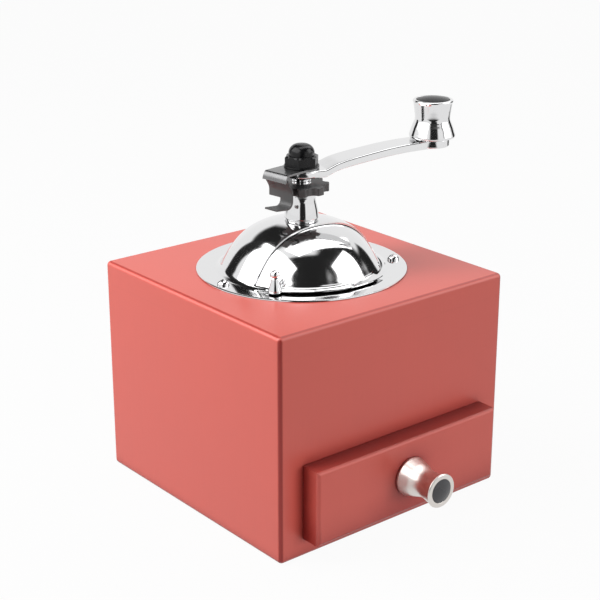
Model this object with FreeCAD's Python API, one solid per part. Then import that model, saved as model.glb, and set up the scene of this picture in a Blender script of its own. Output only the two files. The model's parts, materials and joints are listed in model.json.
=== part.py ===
import FreeCAD, Part
import os
from math import sqrt, sin, cos, radians, pi
from FreeCAD import Vector, Rotation, Placement

# Hand crank box mill, all sizes in millimetres.
# The origin is the middle of the underside, on the spindle axis, with Z up and the drawer facing -Y.

# Wooden case
case_width = 150.0
case_depth = 150.0
case_height = 120.0
wall_thickness = 12.0
top_thickness = 12.0
base_thickness = 12.0
case_edge_round = 2.5

# Drawer
opening_width = 104.0
opening_height = 35.0
drawer_front_width = 122.0
drawer_front_height = 40.0
drawer_front_thickness = 12.0
drawer_front_round = 2.2
drawer_front_drop = 1.5
drawer_seat_gap = 0.3
drawer_side_gap = 0.5
drawer_floor_gap = 0.3
drawer_head_gap = 1.0
drawer_length = 125.0
drawer_side_thickness = 6.0
drawer_bottom_thickness = 3.0
guide_height = 10.0

# Drawer knob
drawer_knob_length = 22.6
drawer_knob_base_radius = 10.4
drawer_knob_waist_radius = 7.2
drawer_knob_end_radius = 9.1
drawer_knob_cap_radius = 6.25
drawer_knob_cap_rise = 1.2
drawer_knob_cap_depth = 2.5
knob_screw_radius = 2.0
knob_screw_head_radius = 4.0
knob_screw_head_height = 2.2
knob_screw_grip = 12.0

# Hopper dome, one spun sheet with its flange
flange_radius = 56.0
flange_width = 9.6
sheet_thickness = 0.8
dome_height = 27.0
dome_fillet = 4.5
window_setback = 12.0
window_sill = 0.6

# Flange screws
flange_screw_count = 3
flange_screw_inset = 5.6
flange_screw_first = -27.0
flange_screw_last = 178.0
flange_screw_head_radius = 3.2
flange_screw_head_height = 2.6
flange_screw_radius = 1.7
flange_screw_length = 10.0
screw_hole_gap = 0.3
slot_width = 0.9
slot_depth = 0.9

# Shutter inside the dome
shutter_gap = 0.3
shutter_thickness = 0.6
shutter_overlap = 4.0
shutter_hub_radius = 12.0
shutter_lip_reach = 0.6
shutter_lip_first = -152.0
shutter_lip_last = -66.0
shutter_post_angle = -146.0
shutter_post_inset = 0.0
shutter_post_base_radius = 3.2
shutter_post_neck_radius = 1.7
shutter_post_cone = 6.6
shutter_post_ball = 2.5
shutter_ear_margin = 0.4

# Neck and upper bush
neck_foot_radius = 8.2
neck_foot_height = 1.3
neck_groove_depth = 0.6
neck_bulge_radius = 9.1
neck_bulge_height = 1.8
neck_waist_radius = 6.3
neck_top_radius = 6.8
neck_top_band = 1.0
neck_top_height = 41.3
upper_bush_radius = 5.6
upper_bush_flange_radius = 9.5
upper_bush_flange_thickness = 2.0
running_gap = 0.05
end_gap = 0.3

# Spindle
spindle_radius = 4.0
spindle_thread_radius = 5.0
thread_pitch = 1.3
thread_depth = 0.6
square_across = 7.0
square_gap = 0.1
stud_radius = 3.6
stud_length = 8.5
spindle_tail_radius = 3.4

# Adjusting wheel
wheel_thickness = 4.0
wheel_lift = 0.7
wheel_radius = 14.4
wheel_lobes = 8
wheel_valley_depth = 2.6
wheel_valley_radius = 3.6
wheel_edge_round = 1.2

# Crank arm
hub_height = 50.4
hub_radius = 10.0
hub_thickness = 3.6
crank_length = 74.0
crank_angle = -19.4
arm_rise = 9.6
arm_thickness = 4.4
arm_end_radius = 7.0
arm_start_gap = 0.5

# Crank knob
crank_knob_height = 20.2
crank_knob_base_radius = 12.4
crank_knob_waist_radius = 9.0
crank_knob_top_radius = 10.9
crank_knob_waist_drop = 8.2
crank_knob_cap_radius = 8.8
crank_knob_cap_rise = 1.3
crank_knob_cap_depth = 5.0
axle_radius = 3.0
axle_head_radius = 5.0
axle_head_thickness = 1.6

# Latch clip over the wheel
latch_angle = 187.0
latch_sheet = 1.0
latch_plate_radius = 9.3
latch_width = 16.5
latch_knuckle_width = 7.3
latch_tongue_width = 8.5
latch_hinge_reach = 18.0
latch_barrel_radius = 2.2
latch_pin_radius = 0.9
latch_flange_drop = 11.5
latch_wheel_gap = 0.35
latch_drop = 15.2
latch_curl_radius = 3.0
latch_tip_reach = 27.0
latch_knuckle_gap = 0.3

# Acorn nut
nut_across_flats = 16.0
nut_turn = 40.5
nut_hex_height = 5.2
nut_washer_radius = 9.3
nut_washer_height = 0.8
nut_dome_radius = 6.8
nut_dome_round = 4.6
nut_height = 12.1

# Hopper funnel
funnel_mouth_radius = 38.0
funnel_throat_radius = 21.0
funnel_depth = 22.0
funnel_collar = 3.0
funnel_sheet = 1.0
fit_gap = 0.3

# Burr housing and burrs
housing_flange_radius = 46.0
housing_flange_thickness = 4.0
housing_bell_radius = 35.0
housing_bell_depth = 20.0
housing_sleeve_radius = 27.5
housing_depth = 38.0
housing_wall = 3.5
housing_screws = 3
housing_screw_circle = 41.0
housing_screw_first = 30.0
housing_screw_radius = 2.0
housing_screw_head_radius = 3.8
housing_screw_head_height = 2.4
housing_screw_grip = 8.0
outer_burr_radius = 23.0
outer_burr_height = 20.0
outer_burr_mouth_radius = 19.5
outer_burr_exit_radius = 17.6
outer_burr_teeth = 24
outer_burr_tooth_depth = 1.4
inner_burr_height = 24.0
inner_burr_top_radius = 9.0
inner_burr_bottom_radius = 17.0
inner_burr_flutes = 9
inner_burr_flute_width = 3.2
inner_burr_flute_depth = 2.8
inner_burr_flute_lean = 22.0
burr_lift = 2.0

# Lower bridge and spindle end
bridge_thickness = 4.0
bridge_hub_radius = 9.0
bridge_hub_height = 8.0
bridge_spokes = 3
bridge_spoke_width = 7.0
bridge_screw_radius = 1.4
bridge_screw_head_radius = 2.2
bridge_screw_head_height = 1.6
bridge_screw_grip = 6.0
lower_bush_radius = 5.6
burr_nut_across_flats = 11.0
burr_nut_height = 5.0
spindle_tail = 2.0

# Heights and places that follow from the sizes above
x_out = case_width / 2
y_out = case_depth / 2
x_in = x_out - wall_thickness
y_in = y_out - wall_thickness
wall_top = case_height - top_thickness
flange_top = case_height + sheet_thickness
fillet_reach = flange_radius - flange_width
dome_drop = sheet_thickness + dome_fillet - dome_height
dome_radius = (fillet_reach ** 2 + dome_drop ** 2 - dome_fillet ** 2) / (2 * (dome_height - sheet_thickness))
dome_centre = case_height + dome_height - dome_radius
dome_inner = dome_radius - sheet_thickness
shutter_outer = dome_inner - shutter_gap
shutter_inner = shutter_outer - shutter_thickness
shutter_lip_radius = fillet_reach + shutter_lip_reach
shutter_post_circle = shutter_lip_radius - shutter_post_inset
flange_screw_circle = flange_radius - flange_screw_inset
funnel_rim_radius = flange_screw_circle - flange_screw_radius - fit_gap
lip_bottom = flange_top + window_sill + end_gap
neck_top = case_height + neck_top_height
neck_foot_z = dome_centre + sqrt(dome_radius ** 2 - neck_foot_radius ** 2)
bush_flange_top = dome_centre + sqrt(shutter_inner ** 2 - upper_bush_flange_radius ** 2) - end_gap
wheel_bottom = neck_top + wheel_lift
hub_bottom = case_height + hub_height
hub_top = hub_bottom + hub_thickness
plate_top = hub_top + latch_sheet
arm_end_bottom = hub_bottom + arm_rise
arm_end_top = arm_end_bottom + arm_thickness
crank_knob_bottom = arm_end_top + end_gap
drawer_back_y = -y_out - drawer_seat_gap
drawer_face_y = drawer_back_y - drawer_front_thickness
drawer_box_half = opening_width / 2 - drawer_side_gap
drawer_floor = base_thickness + drawer_floor_gap
drawer_box_top = base_thickness + opening_height - drawer_head_gap
drawer_inner_half = drawer_box_half - drawer_side_thickness
drawer_tail_y = drawer_back_y + drawer_length
front_bottom = base_thickness - drawer_front_drop
knob_z = front_bottom + drawer_front_height / 2
housing_bottom = wall_top - housing_depth
bell_bottom = wall_top - housing_bell_depth
sleeve_seat = housing_bottom + burr_lift
bridge_bottom = housing_bottom - bridge_thickness
hub_low = housing_bottom - bridge_hub_height
inner_burr_bottom = sleeve_seat
nut_top = hub_low - end_gap
spindle_end = nut_top - burr_nut_height - spindle_tail
crank_end = (crank_length * cos(radians(crank_angle)), crank_length * sin(radians(crank_angle)))

ZAXIS = Vector(0, 0, 1)
ORIGIN = Vector(0, 0, 0)


# Shared shape helpers

def block(x0, x1, y0, y1, z0, z1):
    """A box between two corners."""
    return Part.makeBox(x1 - x0, y1 - y0, z1 - z0, Vector(x0, y0, z0))


def post(radius, z0, z1, x=0.0, y=0.0):
    """An upright cylinder."""
    return Part.makeCylinder(radius, z1 - z0, Vector(x, y, z0))


def line(a, b):
    """A straight edge in the radius and height plane."""
    return Part.makeLine(Vector(a[0], 0, a[1]), Vector(b[0], 0, b[1]))


def bow(a, m, b):
    """An arc through three points in the radius and height plane."""
    return Part.Arc(Vector(a[0], 0, a[1]), Vector(m[0], 0, m[1]), Vector(b[0], 0, b[1])).toShape()


def flow(points):
    """A smooth curve through points in the radius and height plane."""
    curve = Part.BSplineCurve()
    curve.interpolate([Vector(r, 0, z) for r, z in points])
    return curve.toShape()


def dome_arc(radius, z, rise):
    """The arc of a domed top, from its rim in to its crown on the axis."""
    ball = (radius ** 2 + rise ** 2) / (2 * rise)
    part_way = 0.6 * radius
    height = z + rise - ball + sqrt(ball ** 2 - part_way ** 2)
    return bow((radius, z), (part_way, height), (0, z + rise))


def turned(edges, angle=360.0):
    """Revolve a closed outline about Z."""
    face = Part.Face(Part.Wire(edges))
    solid = face.revolve(ORIGIN, ZAXIS, angle)
    if solid.Volume < 0:
        solid.reverse()
    return solid


def lathe(points):
    """Revolve a closed polygon of radius and height points about Z."""
    closed = list(points) + [points[0]]
    edges = [line(a, b) for a, b in zip(closed[:-1], closed[1:]) if a != b]
    return turned(edges)


def moved(shape, angle=0.0, x=0.0, y=0.0, z=0.0):
    """A copy turned about Z and then shifted."""
    copy = shape.copy()
    copy.Placement = Placement(Vector(x, y, z), Rotation(ZAXIS, angle)).multiply(copy.Placement)
    return copy


def on_circle(radius, angle):
    """A point in plan on a circle round the spindle."""
    return radius * cos(radians(angle)), radius * sin(radians(angle))


def hexagon(across, z0, z1):
    """An upright hexagonal bar."""
    corner = across / sqrt(3)
    points = [Vector(*on_circle(corner, 60 * k), z0) for k in range(7)]
    return Part.Face(Part.makePolygon(points)).extrude(Vector(0, 0, z1 - z0))


def sector(inner, outer, z0, z1, first, last):
    """Part of a flat ring between two angles."""
    outline = [line((inner, z0), (outer, z0)), line((outer, z0), (outer, z1))]
    outline += [line((outer, z1), (inner, z1)), line((inner, z1), (inner, z0))]
    return moved(turned(outline, last - first), first)


def sphere_z(radius, reach):
    """Height of a dome sphere at a distance from the spindle axis."""
    return dome_centre + sqrt(radius ** 2 - reach ** 2)


def screw_spots(count, first, last, circle):
    """Evenly spaced places for screws, from a first to a last angle."""
    step = (last - first) / (count - 1)
    return [(first + step * k, on_circle(circle, first + step * k)) for k in range(count)]


def ring_spots(count, first, circle):
    """Places for screws all the way round."""
    return [(first + 360.0 / count * k, on_circle(circle, first + 360.0 / count * k)) for k in range(count)]


flange_spots = screw_spots(flange_screw_count, flange_screw_first, flange_screw_last, flange_screw_circle)
housing_spots = ring_spots(housing_screws, housing_screw_first, housing_screw_circle)
bridge_circle = (outer_burr_radius + housing_sleeve_radius) / 2
bridge_spots = ring_spots(bridge_spokes, housing_screw_first, bridge_circle)


# Wooden case

def case_envelope():
    """The outside of the case with softened edges."""
    box = block(-x_out, x_out, -y_out, y_out, 0, case_height)
    return box.makeFillet(case_edge_round, box.Edges)


def wall(half_out, half_in, far, near):
    """A wall with mitred ends, standing at the front."""
    outline = [Vector(-half_out, -far, 0), Vector(half_out, -far, 0)]
    outline += [Vector(half_in, -near, 0), Vector(-half_in, -near, 0), Vector(-half_out, -far, 0)]
    return Part.Face(Part.makePolygon(outline)).extrude(Vector(0, 0, wall_top))


def front_panel(envelope):
    """The front wall with the drawer opening."""
    panel = wall(x_out, x_in, y_out, y_in).common(envelope)
    half = opening_width / 2
    hole = block(-half, half, -y_out - 1, -y_in + 1, base_thickness, base_thickness + opening_height)
    return panel.cut(hole)


def back_panel(envelope):
    """The plain back wall."""
    return moved(wall(x_out, x_in, y_out, y_in), 180).common(envelope)


def side_panel(envelope, angle):
    """A plain side wall."""
    return moved(wall(y_out, y_in, x_out, x_in), angle).common(envelope)


def top_panel(envelope):
    """The top board, bored for the funnel and rebated for its rim."""
    board = block(-x_out, x_out, -y_out, y_out, wall_top, case_height).common(envelope)
    board = board.cut(post(funnel_mouth_radius + fit_gap, wall_top - 1, case_height + 1))
    board = board.cut(post(funnel_rim_radius + fit_gap, case_height - funnel_sheet, case_height + 1))
    for angle, spot in flange_spots:
        board = board.cut(post(flange_screw_radius, flange_top - flange_screw_length, case_height + 1, *spot))
    for angle, spot in housing_spots:
        board = board.cut(post(housing_screw_radius, wall_top - 1, wall_top + housing_screw_grip, *spot))
    return board


def base_panel(envelope):
    """The bottom board between the walls."""
    return block(-x_in, x_in, -y_in, y_in, 0, base_thickness)


def drawer_guide(side):
    """A strip on the base that keeps the drawer straight."""
    inner = opening_width / 2
    x0, x1 = sorted((side * inner, side * x_in))
    return block(x0, x1, -y_in, drawer_tail_y, base_thickness, base_thickness + guide_height)


# Drawer

def drawer_front():
    """The overlaid drawer front with rounded front edges."""
    half = drawer_front_width / 2
    panel = block(-half, half, drawer_face_y, drawer_back_y, front_bottom, front_bottom + drawer_front_height)
    edges = [e for e in panel.Edges if e.BoundBox.YMax < drawer_face_y + 0.01]
    panel = panel.makeFillet(drawer_front_round, edges)
    hole = Part.makeCylinder(knob_screw_radius, drawer_front_thickness + 2,
                             Vector(0, drawer_face_y - 1, knob_z), Vector(0, 1, 0))
    return panel.cut(hole)


def drawer_side(side):
    """A drawer side, outside the bottom and the back."""
    x0, x1 = sorted((side * drawer_inner_half, side * drawer_box_half))
    return block(x0, x1, drawer_back_y, drawer_tail_y, drawer_floor, drawer_box_top)


def drawer_back():
    """The drawer back between the sides."""
    y0 = drawer_tail_y - drawer_side_thickness
    return block(-drawer_inner_half, drawer_inner_half, y0, drawer_tail_y, drawer_floor, drawer_box_top)


def drawer_bottom():
    """The drawer floor between the sides."""
    y1 = drawer_tail_y - drawer_side_thickness
    top = drawer_floor + drawer_bottom_thickness
    return block(-drawer_inner_half, drawer_inner_half, drawer_back_y, y1, drawer_floor, top)


def facing_front(shape):
    """Lay a turned piece down so that its axis points out of the drawer."""
    copy = shape.copy()
    copy.Placement = Placement(Vector(0, drawer_face_y, knob_z), Rotation(Vector(1, 0, 0), 90))
    return copy


def drawer_knob():
    """A waisted knob with a socket for its end cap."""
    length = drawer_knob_length
    base, waist, end = drawer_knob_base_radius, drawer_knob_waist_radius, drawer_knob_end_radius
    socket = length - drawer_knob_cap_depth
    side = [(base, 1.2), (base - 0.9, 0.22 * length), (waist, 0.58 * length), (end - 0.4, 0.9 * length)]
    edges = [line((0, 0), (base - 0.4, 0)), line((base - 0.4, 0), side[0]), flow(side)]
    edges += [bow(side[-1], (end, 0.95 * length), (end - 0.5, length))]
    edges += [line((end - 0.5, length), (drawer_knob_cap_radius, length))]
    edges += [line((drawer_knob_cap_radius, length), (drawer_knob_cap_radius, socket))]
    edges += [line((drawer_knob_cap_radius, socket), (0, socket)), line((0, socket), (0, 0))]
    knob = turned(edges)
    return facing_front(knob.cut(post(knob_screw_radius, -1, knob_screw_grip)))


def button(radius, rise, depth, z):
    """A domed cap pressed into a socket."""
    edges = [line((0, z - depth), (radius, z - depth)), line((radius, z - depth), (radius, z))]
    edges += [dome_arc(radius, z, rise), line((0, z + rise), (0, z - depth))]
    return turned(edges)


def drawer_knob_cap():
    """The dark domed cap in the end of the drawer knob."""
    return facing_front(button(drawer_knob_cap_radius, drawer_knob_cap_rise, drawer_knob_cap_depth,
                               drawer_knob_length))


def drawer_knob_screw():
    """The screw that holds the knob from inside the drawer."""
    head_z = -drawer_front_thickness
    shank = post(knob_screw_radius, head_z, knob_screw_grip)
    head = post(knob_screw_head_radius, head_z - knob_screw_head_height, head_z)
    head = head.makeFillet(0.6 * knob_screw_head_height, [head.Edges[2]])
    slot = block(-5, 5, -slot_width / 2, slot_width / 2, head_z - 5, head_z - knob_screw_head_height + slot_depth)
    return facing_front(shank.fuse(head).cut(slot).removeSplitter())


# Hopper dome and shutter

def dome_sheet(radius, fillet):
    """Where a dome circle leaves the axis side and where it meets its fillet."""
    lean = fillet_reach / (dome_radius + dome_fillet)
    rise = (flange_top + dome_fillet - dome_centre) / (dome_radius + dome_fillet)
    foot = (radius * lean, dome_centre + radius * rise)
    low = (fillet_reach, flange_top + dome_fillet - fillet)
    down = (-lean, -rise)
    mid_x, mid_z = down[0], down[1] - 1
    size = sqrt(mid_x ** 2 + mid_z ** 2)
    middle = (fillet_reach + fillet * mid_x / size, flange_top + dome_fillet + fillet * mid_z / size)
    return foot, middle, low


def hopper_dome():
    """The spun dome and flange with its filling window."""
    hole = upper_bush_radius
    foot, middle, low = dome_sheet(dome_radius, dome_fillet)
    foot_in, middle_in, low_in = dome_sheet(dome_inner, dome_fillet + sheet_thickness)
    top, top_in = (hole, sphere_z(dome_radius, hole)), (hole, sphere_z(dome_inner, hole))
    half = 0.6 * dome_radius
    edges = [bow(top, (half, sphere_z(dome_radius, half)), foot), bow(foot, middle, low)]
    edges += [line(low, (flange_radius, flange_top)), line((flange_radius, flange_top), (flange_radius, case_height))]
    edges += [line((flange_radius, case_height), low_in), bow(low_in, middle_in, foot_in)]
    edges += [bow(foot_in, (half, sphere_z(dome_inner, half)), top_in), line(top_in, top)]
    dome = turned(edges)
    window = block(-flange_radius, flange_radius, -flange_radius, -window_setback,
                   flange_top + window_sill, case_height + dome_height + 1)
    dome = dome.cut(window)
    for angle, spot in flange_spots:
        dome = dome.cut(post(flange_screw_radius + screw_hole_gap, case_height - 1, flange_top + 1, *spot))
    return dome


def flange_screw(angle, spot):
    """A slotted round head screw through the flange."""
    radius, height = flange_screw_head_radius, flange_screw_head_height
    edges = [line((0, 0), (radius, 0)), line((radius, 0), (radius, 0.35 * height))]
    edges += [dome_arc(radius, 0.35 * height, 0.65 * height), line((0, height), (0, 0))]
    screw = turned(edges).fuse(post(flange_screw_radius, -flange_screw_length, 0))
    screw = screw.cut(block(-5, 5, -slot_width / 2, slot_width / 2, height - slot_depth, height + 1))
    return moved(screw.removeSplitter(), angle + 40, spot[0], spot[1], flange_top)


def shutter():
    """A shell inside the dome that turns on the upper bush, with a lip through the window."""
    hub = upper_bush_radius + running_gap
    foot_z = lip_bottom
    foot_out = sqrt(shutter_outer ** 2 - (foot_z - dome_centre) ** 2)
    foot_in = sqrt(shutter_inner ** 2 - (foot_z - dome_centre) ** 2)
    half = 0.6 * dome_radius
    edges = [bow((hub, sphere_z(shutter_outer, hub)), (half, sphere_z(shutter_outer, half)), (foot_out, foot_z))]
    edges += [line((foot_out, foot_z), (foot_in, foot_z))]
    edges += [bow((foot_in, foot_z), (half, sphere_z(shutter_inner, half)), (hub, sphere_z(shutter_inner, hub)))]
    edges += [line((hub, sphere_z(shutter_inner, hub)), (hub, sphere_z(shutter_outer, hub)))]
    shell = turned(edges)
    crown = case_height + dome_height
    back = block(-flange_radius, flange_radius, -window_setback + shutter_overlap, flange_radius, 0, crown)
    shell = shell.cut(back.cut(post(shutter_hub_radius, -1, crown + 1)))
    lip = sector(foot_in, shutter_lip_radius, foot_z, foot_z + shutter_thickness,
                 shutter_lip_first, shutter_lip_last)
    spot = on_circle(shutter_post_circle, shutter_post_angle)
    ear = post(shutter_post_base_radius + shutter_ear_margin, foot_z, foot_z + shutter_thickness, *spot)
    inside = Part.makeSphere(shutter_inner, Vector(0, 0, dome_centre))
    return shell.fuse([lip, ear.cut(inside)]).removeSplitter()


def shutter_post():
    """The small ball-ended post that pushes the shutter round."""
    base, neck, ball, cone = shutter_post_base_radius, shutter_post_neck_radius, shutter_post_ball, shutter_post_cone
    centre = cone + sqrt(ball ** 2 - neck ** 2)
    edges = [line((0, 0), (base, 0)), flow([(base, 0), (0.72 * base, 0.4 * cone), (neck, cone)])]
    edges += [bow((neck, cone), (ball, centre), (0, centre + ball)), line((0, centre + ball), (0, 0))]
    spot = on_circle(shutter_post_circle, shutter_post_angle)
    stem = turned(edges)
    inside = Part.makeSphere(shutter_outer, Vector(0, 0, dome_centre))
    return moved(stem, 0, spot[0], spot[1], lip_bottom + shutter_thickness).cut(inside)


def neck_collar():
    """The turned neck that stands on the dome: a foot ring, a groove and a bell."""
    foot, bulge, waist, top = neck_foot_radius, neck_bulge_radius, neck_waist_radius, neck_top_radius
    groove = foot - neck_groove_depth
    z0, z1 = neck_foot_z, neck_foot_z + neck_foot_height
    z2 = z1 + neck_groove_depth
    z3 = z2 + neck_bulge_height
    z4 = neck_top - neck_top_band
    bore_z = sphere_z(dome_radius, upper_bush_radius)
    bell = [(bulge, z3), (bulge - 0.25 * (bulge - waist), z3 + 0.2 * (z4 - z3))]
    bell += [(waist, z3 + 0.72 * (z4 - z3)), (top, z4)]
    edges = [line((foot, z0), (foot, z1)), line((foot, z1), (groove, z2)), line((groove, z2), (bulge, z3))]
    edges += [flow(bell), line((top, z4), (top, neck_top)), line((top, neck_top), (upper_bush_radius, neck_top))]
    edges += [line((upper_bush_radius, neck_top), (upper_bush_radius, bore_z))]
    middle = (upper_bush_radius + foot) / 2
    edges += [bow((upper_bush_radius, bore_z), (middle, sphere_z(dome_radius, middle)), (foot, z0))]
    return turned(edges)


def upper_bush():
    """The flanged bush that carries the spindle and the shutter."""
    bush = post(upper_bush_radius, bush_flange_top, neck_top)
    flange = post(upper_bush_flange_radius, bush_flange_top - upper_bush_flange_thickness, bush_flange_top)
    bore = post(spindle_radius + running_gap, bush_flange_top - upper_bush_flange_thickness - 1, neck_top + 1)
    return bush.fuse(flange).cut(bore).removeSplitter()


def hopper_funnel():
    """The sheet funnel under the dome, its rim clamped by the flange."""
    sheet = funnel_sheet
    top = case_height
    mouth, throat = funnel_mouth_radius, funnel_throat_radius
    low = top - funnel_depth
    points = [(funnel_rim_radius, top), (mouth, top), (throat, low), (throat, low - funnel_collar)]
    points += [(throat + sheet, low - funnel_collar), (throat + sheet, low)]
    lean = (mouth - throat) / funnel_depth
    points += [(throat + sheet + lean * (funnel_depth - sheet) - 0.6, top - sheet), (funnel_rim_radius, top - sheet)]
    return lathe(points)


# Grinding gear

def burr_housing():
    """The cast housing under the top board."""
    bell_in = housing_bell_radius - housing_wall
    points = [(bell_in, wall_top), (housing_flange_radius, wall_top)]
    points += [(housing_flange_radius, wall_top - housing_flange_thickness)]
    points += [(housing_bell_radius, wall_top - housing_flange_thickness), (housing_bell_radius, bell_bottom)]
    points += [(housing_sleeve_radius, bell_bottom), (housing_sleeve_radius, housing_bottom)]
    points += [(outer_burr_radius, housing_bottom), (outer_burr_radius, bell_bottom + housing_wall)]
    points += [(bell_in, bell_bottom + housing_wall)]
    body = lathe(points)
    for angle, spot in housing_spots:
        low = wall_top - housing_flange_thickness - 1
        body = body.cut(post(housing_screw_radius + screw_hole_gap, low, wall_top + 1, *spot))
    for angle, spot in bridge_spots:
        body = body.cut(post(bridge_screw_radius, housing_bottom - 1, housing_bottom + bridge_screw_grip, *spot))
    return body


def round_head_screw(radius, grip, head_radius, head_height, z, spot):
    """A slotted screw driven upwards, its head under a face at z."""
    head = post(head_radius, -head_height, 0)
    head = head.makeChamfer(0.3 * head_height, [e for e in head.Edges if e.BoundBox.ZMax < 0.01 - head_height])
    slot = block(-9, 9, -slot_width / 2, slot_width / 2, -head_height - 1, -head_height + slot_depth)
    screw = head.fuse(post(radius, 0, grip)).removeSplitter().cut(slot)
    return moved(screw, 30, spot[0], spot[1], z)


def housing_screw(spot):
    """A wood screw through the housing flange."""
    z = wall_top - housing_flange_thickness
    grip = housing_flange_thickness + housing_screw_grip
    return round_head_screw(housing_screw_radius, grip, housing_screw_head_radius, housing_screw_head_height, z, spot)


def bridge_screw(spot):
    """A small screw through the bridge rim into the housing."""
    grip = bridge_thickness + bridge_screw_grip
    return round_head_screw(bridge_screw_radius, grip, bridge_screw_head_radius, bridge_screw_head_height,
                            bridge_bottom, spot)


def outer_burr():
    """The fixed grinding ring, toothed on its inner cone."""
    low, high = sleeve_seat, sleeve_seat + outer_burr_height
    wide, narrow = outer_burr_mouth_radius, outer_burr_exit_radius
    ring = lathe([(narrow, low), (outer_burr_radius, low), (outer_burr_radius, high), (wide, high)])
    half = pi * narrow / outer_burr_teeth * 0.8
    bottom = [Vector(narrow - 2, -half, low - 1), Vector(narrow + outer_burr_tooth_depth, 0, low - 1)]
    bottom += [Vector(narrow - 2, half, low - 1), Vector(narrow - 2, -half, low - 1)]
    lean = Vector(wide - narrow, 0, outer_burr_height)
    groove = Part.Face(Part.makePolygon(bottom)).extrude(lean * (1 + 2 / outer_burr_height))
    grooves = [moved(groove, 360.0 / outer_burr_teeth * k) for k in range(outer_burr_teeth)]
    return ring.cut(grooves)


def inner_burr():
    """The turning cone with slanting flutes."""
    low, high = inner_burr_bottom, inner_burr_bottom + inner_burr_height
    wide, narrow = inner_burr_bottom_radius, inner_burr_top_radius
    skirt = 4.0
    cone = lathe([(spindle_radius, low), (wide, low), (wide, low + skirt), (narrow, high), (spindle_radius, high)])
    slope = (wide - narrow) / (inner_burr_height - skirt)
    tool = block(-inner_burr_flute_depth, inner_burr_flute_depth * 3, -inner_burr_flute_width / 2,
                 inner_burr_flute_width / 2, -inner_burr_height, inner_burr_height)
    tool = tool.makeFillet(0.45 * inner_burr_flute_width,
                           [e for e in tool.Edges if e.BoundBox.XMax < 0.01 - inner_burr_flute_depth
                            and e.BoundBox.ZLength > 1])
    tool.rotate(ORIGIN, Vector(1, 0, 0), inner_burr_flute_lean)
    tool.rotate(ORIGIN, Vector(0, 1, 0), -18.0 * slope / 0.4)
    tool.translate(Vector((wide + narrow) / 2, 0, (low + skirt + high) / 2))
    tools = [moved(tool, 360.0 / inner_burr_flutes * k) for k in range(inner_burr_flutes)]
    keep = post(spindle_radius + 1.5, low, high).fuse(post(wide, low, low + 1.0))
    return cone.cut([t.cut(keep) for t in tools])


def lower_bridge():
    """A three-armed bridge across the bottom of the housing."""
    rim = post(housing_sleeve_radius, bridge_bottom, housing_bottom).cut(
        post(outer_burr_radius, bridge_bottom - 1, housing_bottom + 1))
    hub = post(bridge_hub_radius, hub_low, housing_bottom)
    arms = []
    for angle, spot in bridge_spots:
        arm = block(0, bridge_circle, -bridge_spoke_width / 2, bridge_spoke_width / 2, bridge_bottom, housing_bottom)
        arms.append(moved(arm, angle))
    bridge = rim.fuse([hub] + arms).removeSplitter()
    bridge = bridge.cut(post(lower_bush_radius, hub_low - 1, housing_bottom + 1))
    for angle, spot in bridge_spots:
        bridge = bridge.cut(post(bridge_screw_radius + screw_hole_gap, bridge_bottom - 1, housing_bottom + 1, *spot))
    return bridge


def lower_bush():
    """The plain bush in the bridge."""
    return post(lower_bush_radius, hub_low, housing_bottom).cut(
        post(spindle_radius + running_gap, hub_low - 1, housing_bottom + 1))


# Crank and spindle

def spindle():
    """The long shaft with its thread, square and stud."""
    thread_low = neck_top + end_gap
    thread_high = hub_bottom
    turns = int((thread_high - thread_low) / thread_pitch)
    points = [(0, spindle_end), (spindle_tail_radius, spindle_end), (spindle_tail_radius, nut_top)]
    points += [(spindle_radius, nut_top), (spindle_radius, thread_low)]
    for k in range(turns):
        z = thread_low + k * thread_pitch
        points += [(spindle_thread_radius - thread_depth, z), (spindle_thread_radius, z + 0.45 * thread_pitch)]
        points += [(spindle_thread_radius, z + 0.6 * thread_pitch)]
    points += [(spindle_thread_radius - thread_depth, thread_low + turns * thread_pitch)]
    points += [(spindle_thread_radius - thread_depth, thread_high), (0, thread_high)]
    shaft = lathe(points)
    half = square_across / 2
    square = block(-half, half, -half, half, thread_high, plate_top)
    square = square.common(post(spindle_thread_radius - thread_depth, thread_high, plate_top))
    square = moved(square, crank_angle)
    return shaft.fuse([square, post(stud_radius, plate_top, plate_top + stud_length)]).removeSplitter()


def square_hole(z0, z1):
    """The clearance hole round the spindle square."""
    half = square_across / 2 + square_gap
    hole = block(-half, half, -half, half, z0, z1)
    return hole.common(post(spindle_thread_radius - thread_depth + square_gap, z0, z1))


def burr_nut():
    """The nut that holds the spindle under the bridge."""
    nut = hexagon(burr_nut_across_flats, nut_top - burr_nut_height, nut_top)
    cone = Part.makeCone(burr_nut_across_flats * 0.52, burr_nut_across_flats * 0.52 + burr_nut_height,
                         burr_nut_height, Vector(0, 0, nut_top - burr_nut_height))
    nut = nut.common(cone)
    return nut.cut(post(spindle_tail_radius, nut_top - burr_nut_height - 1, nut_top + 1))


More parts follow.
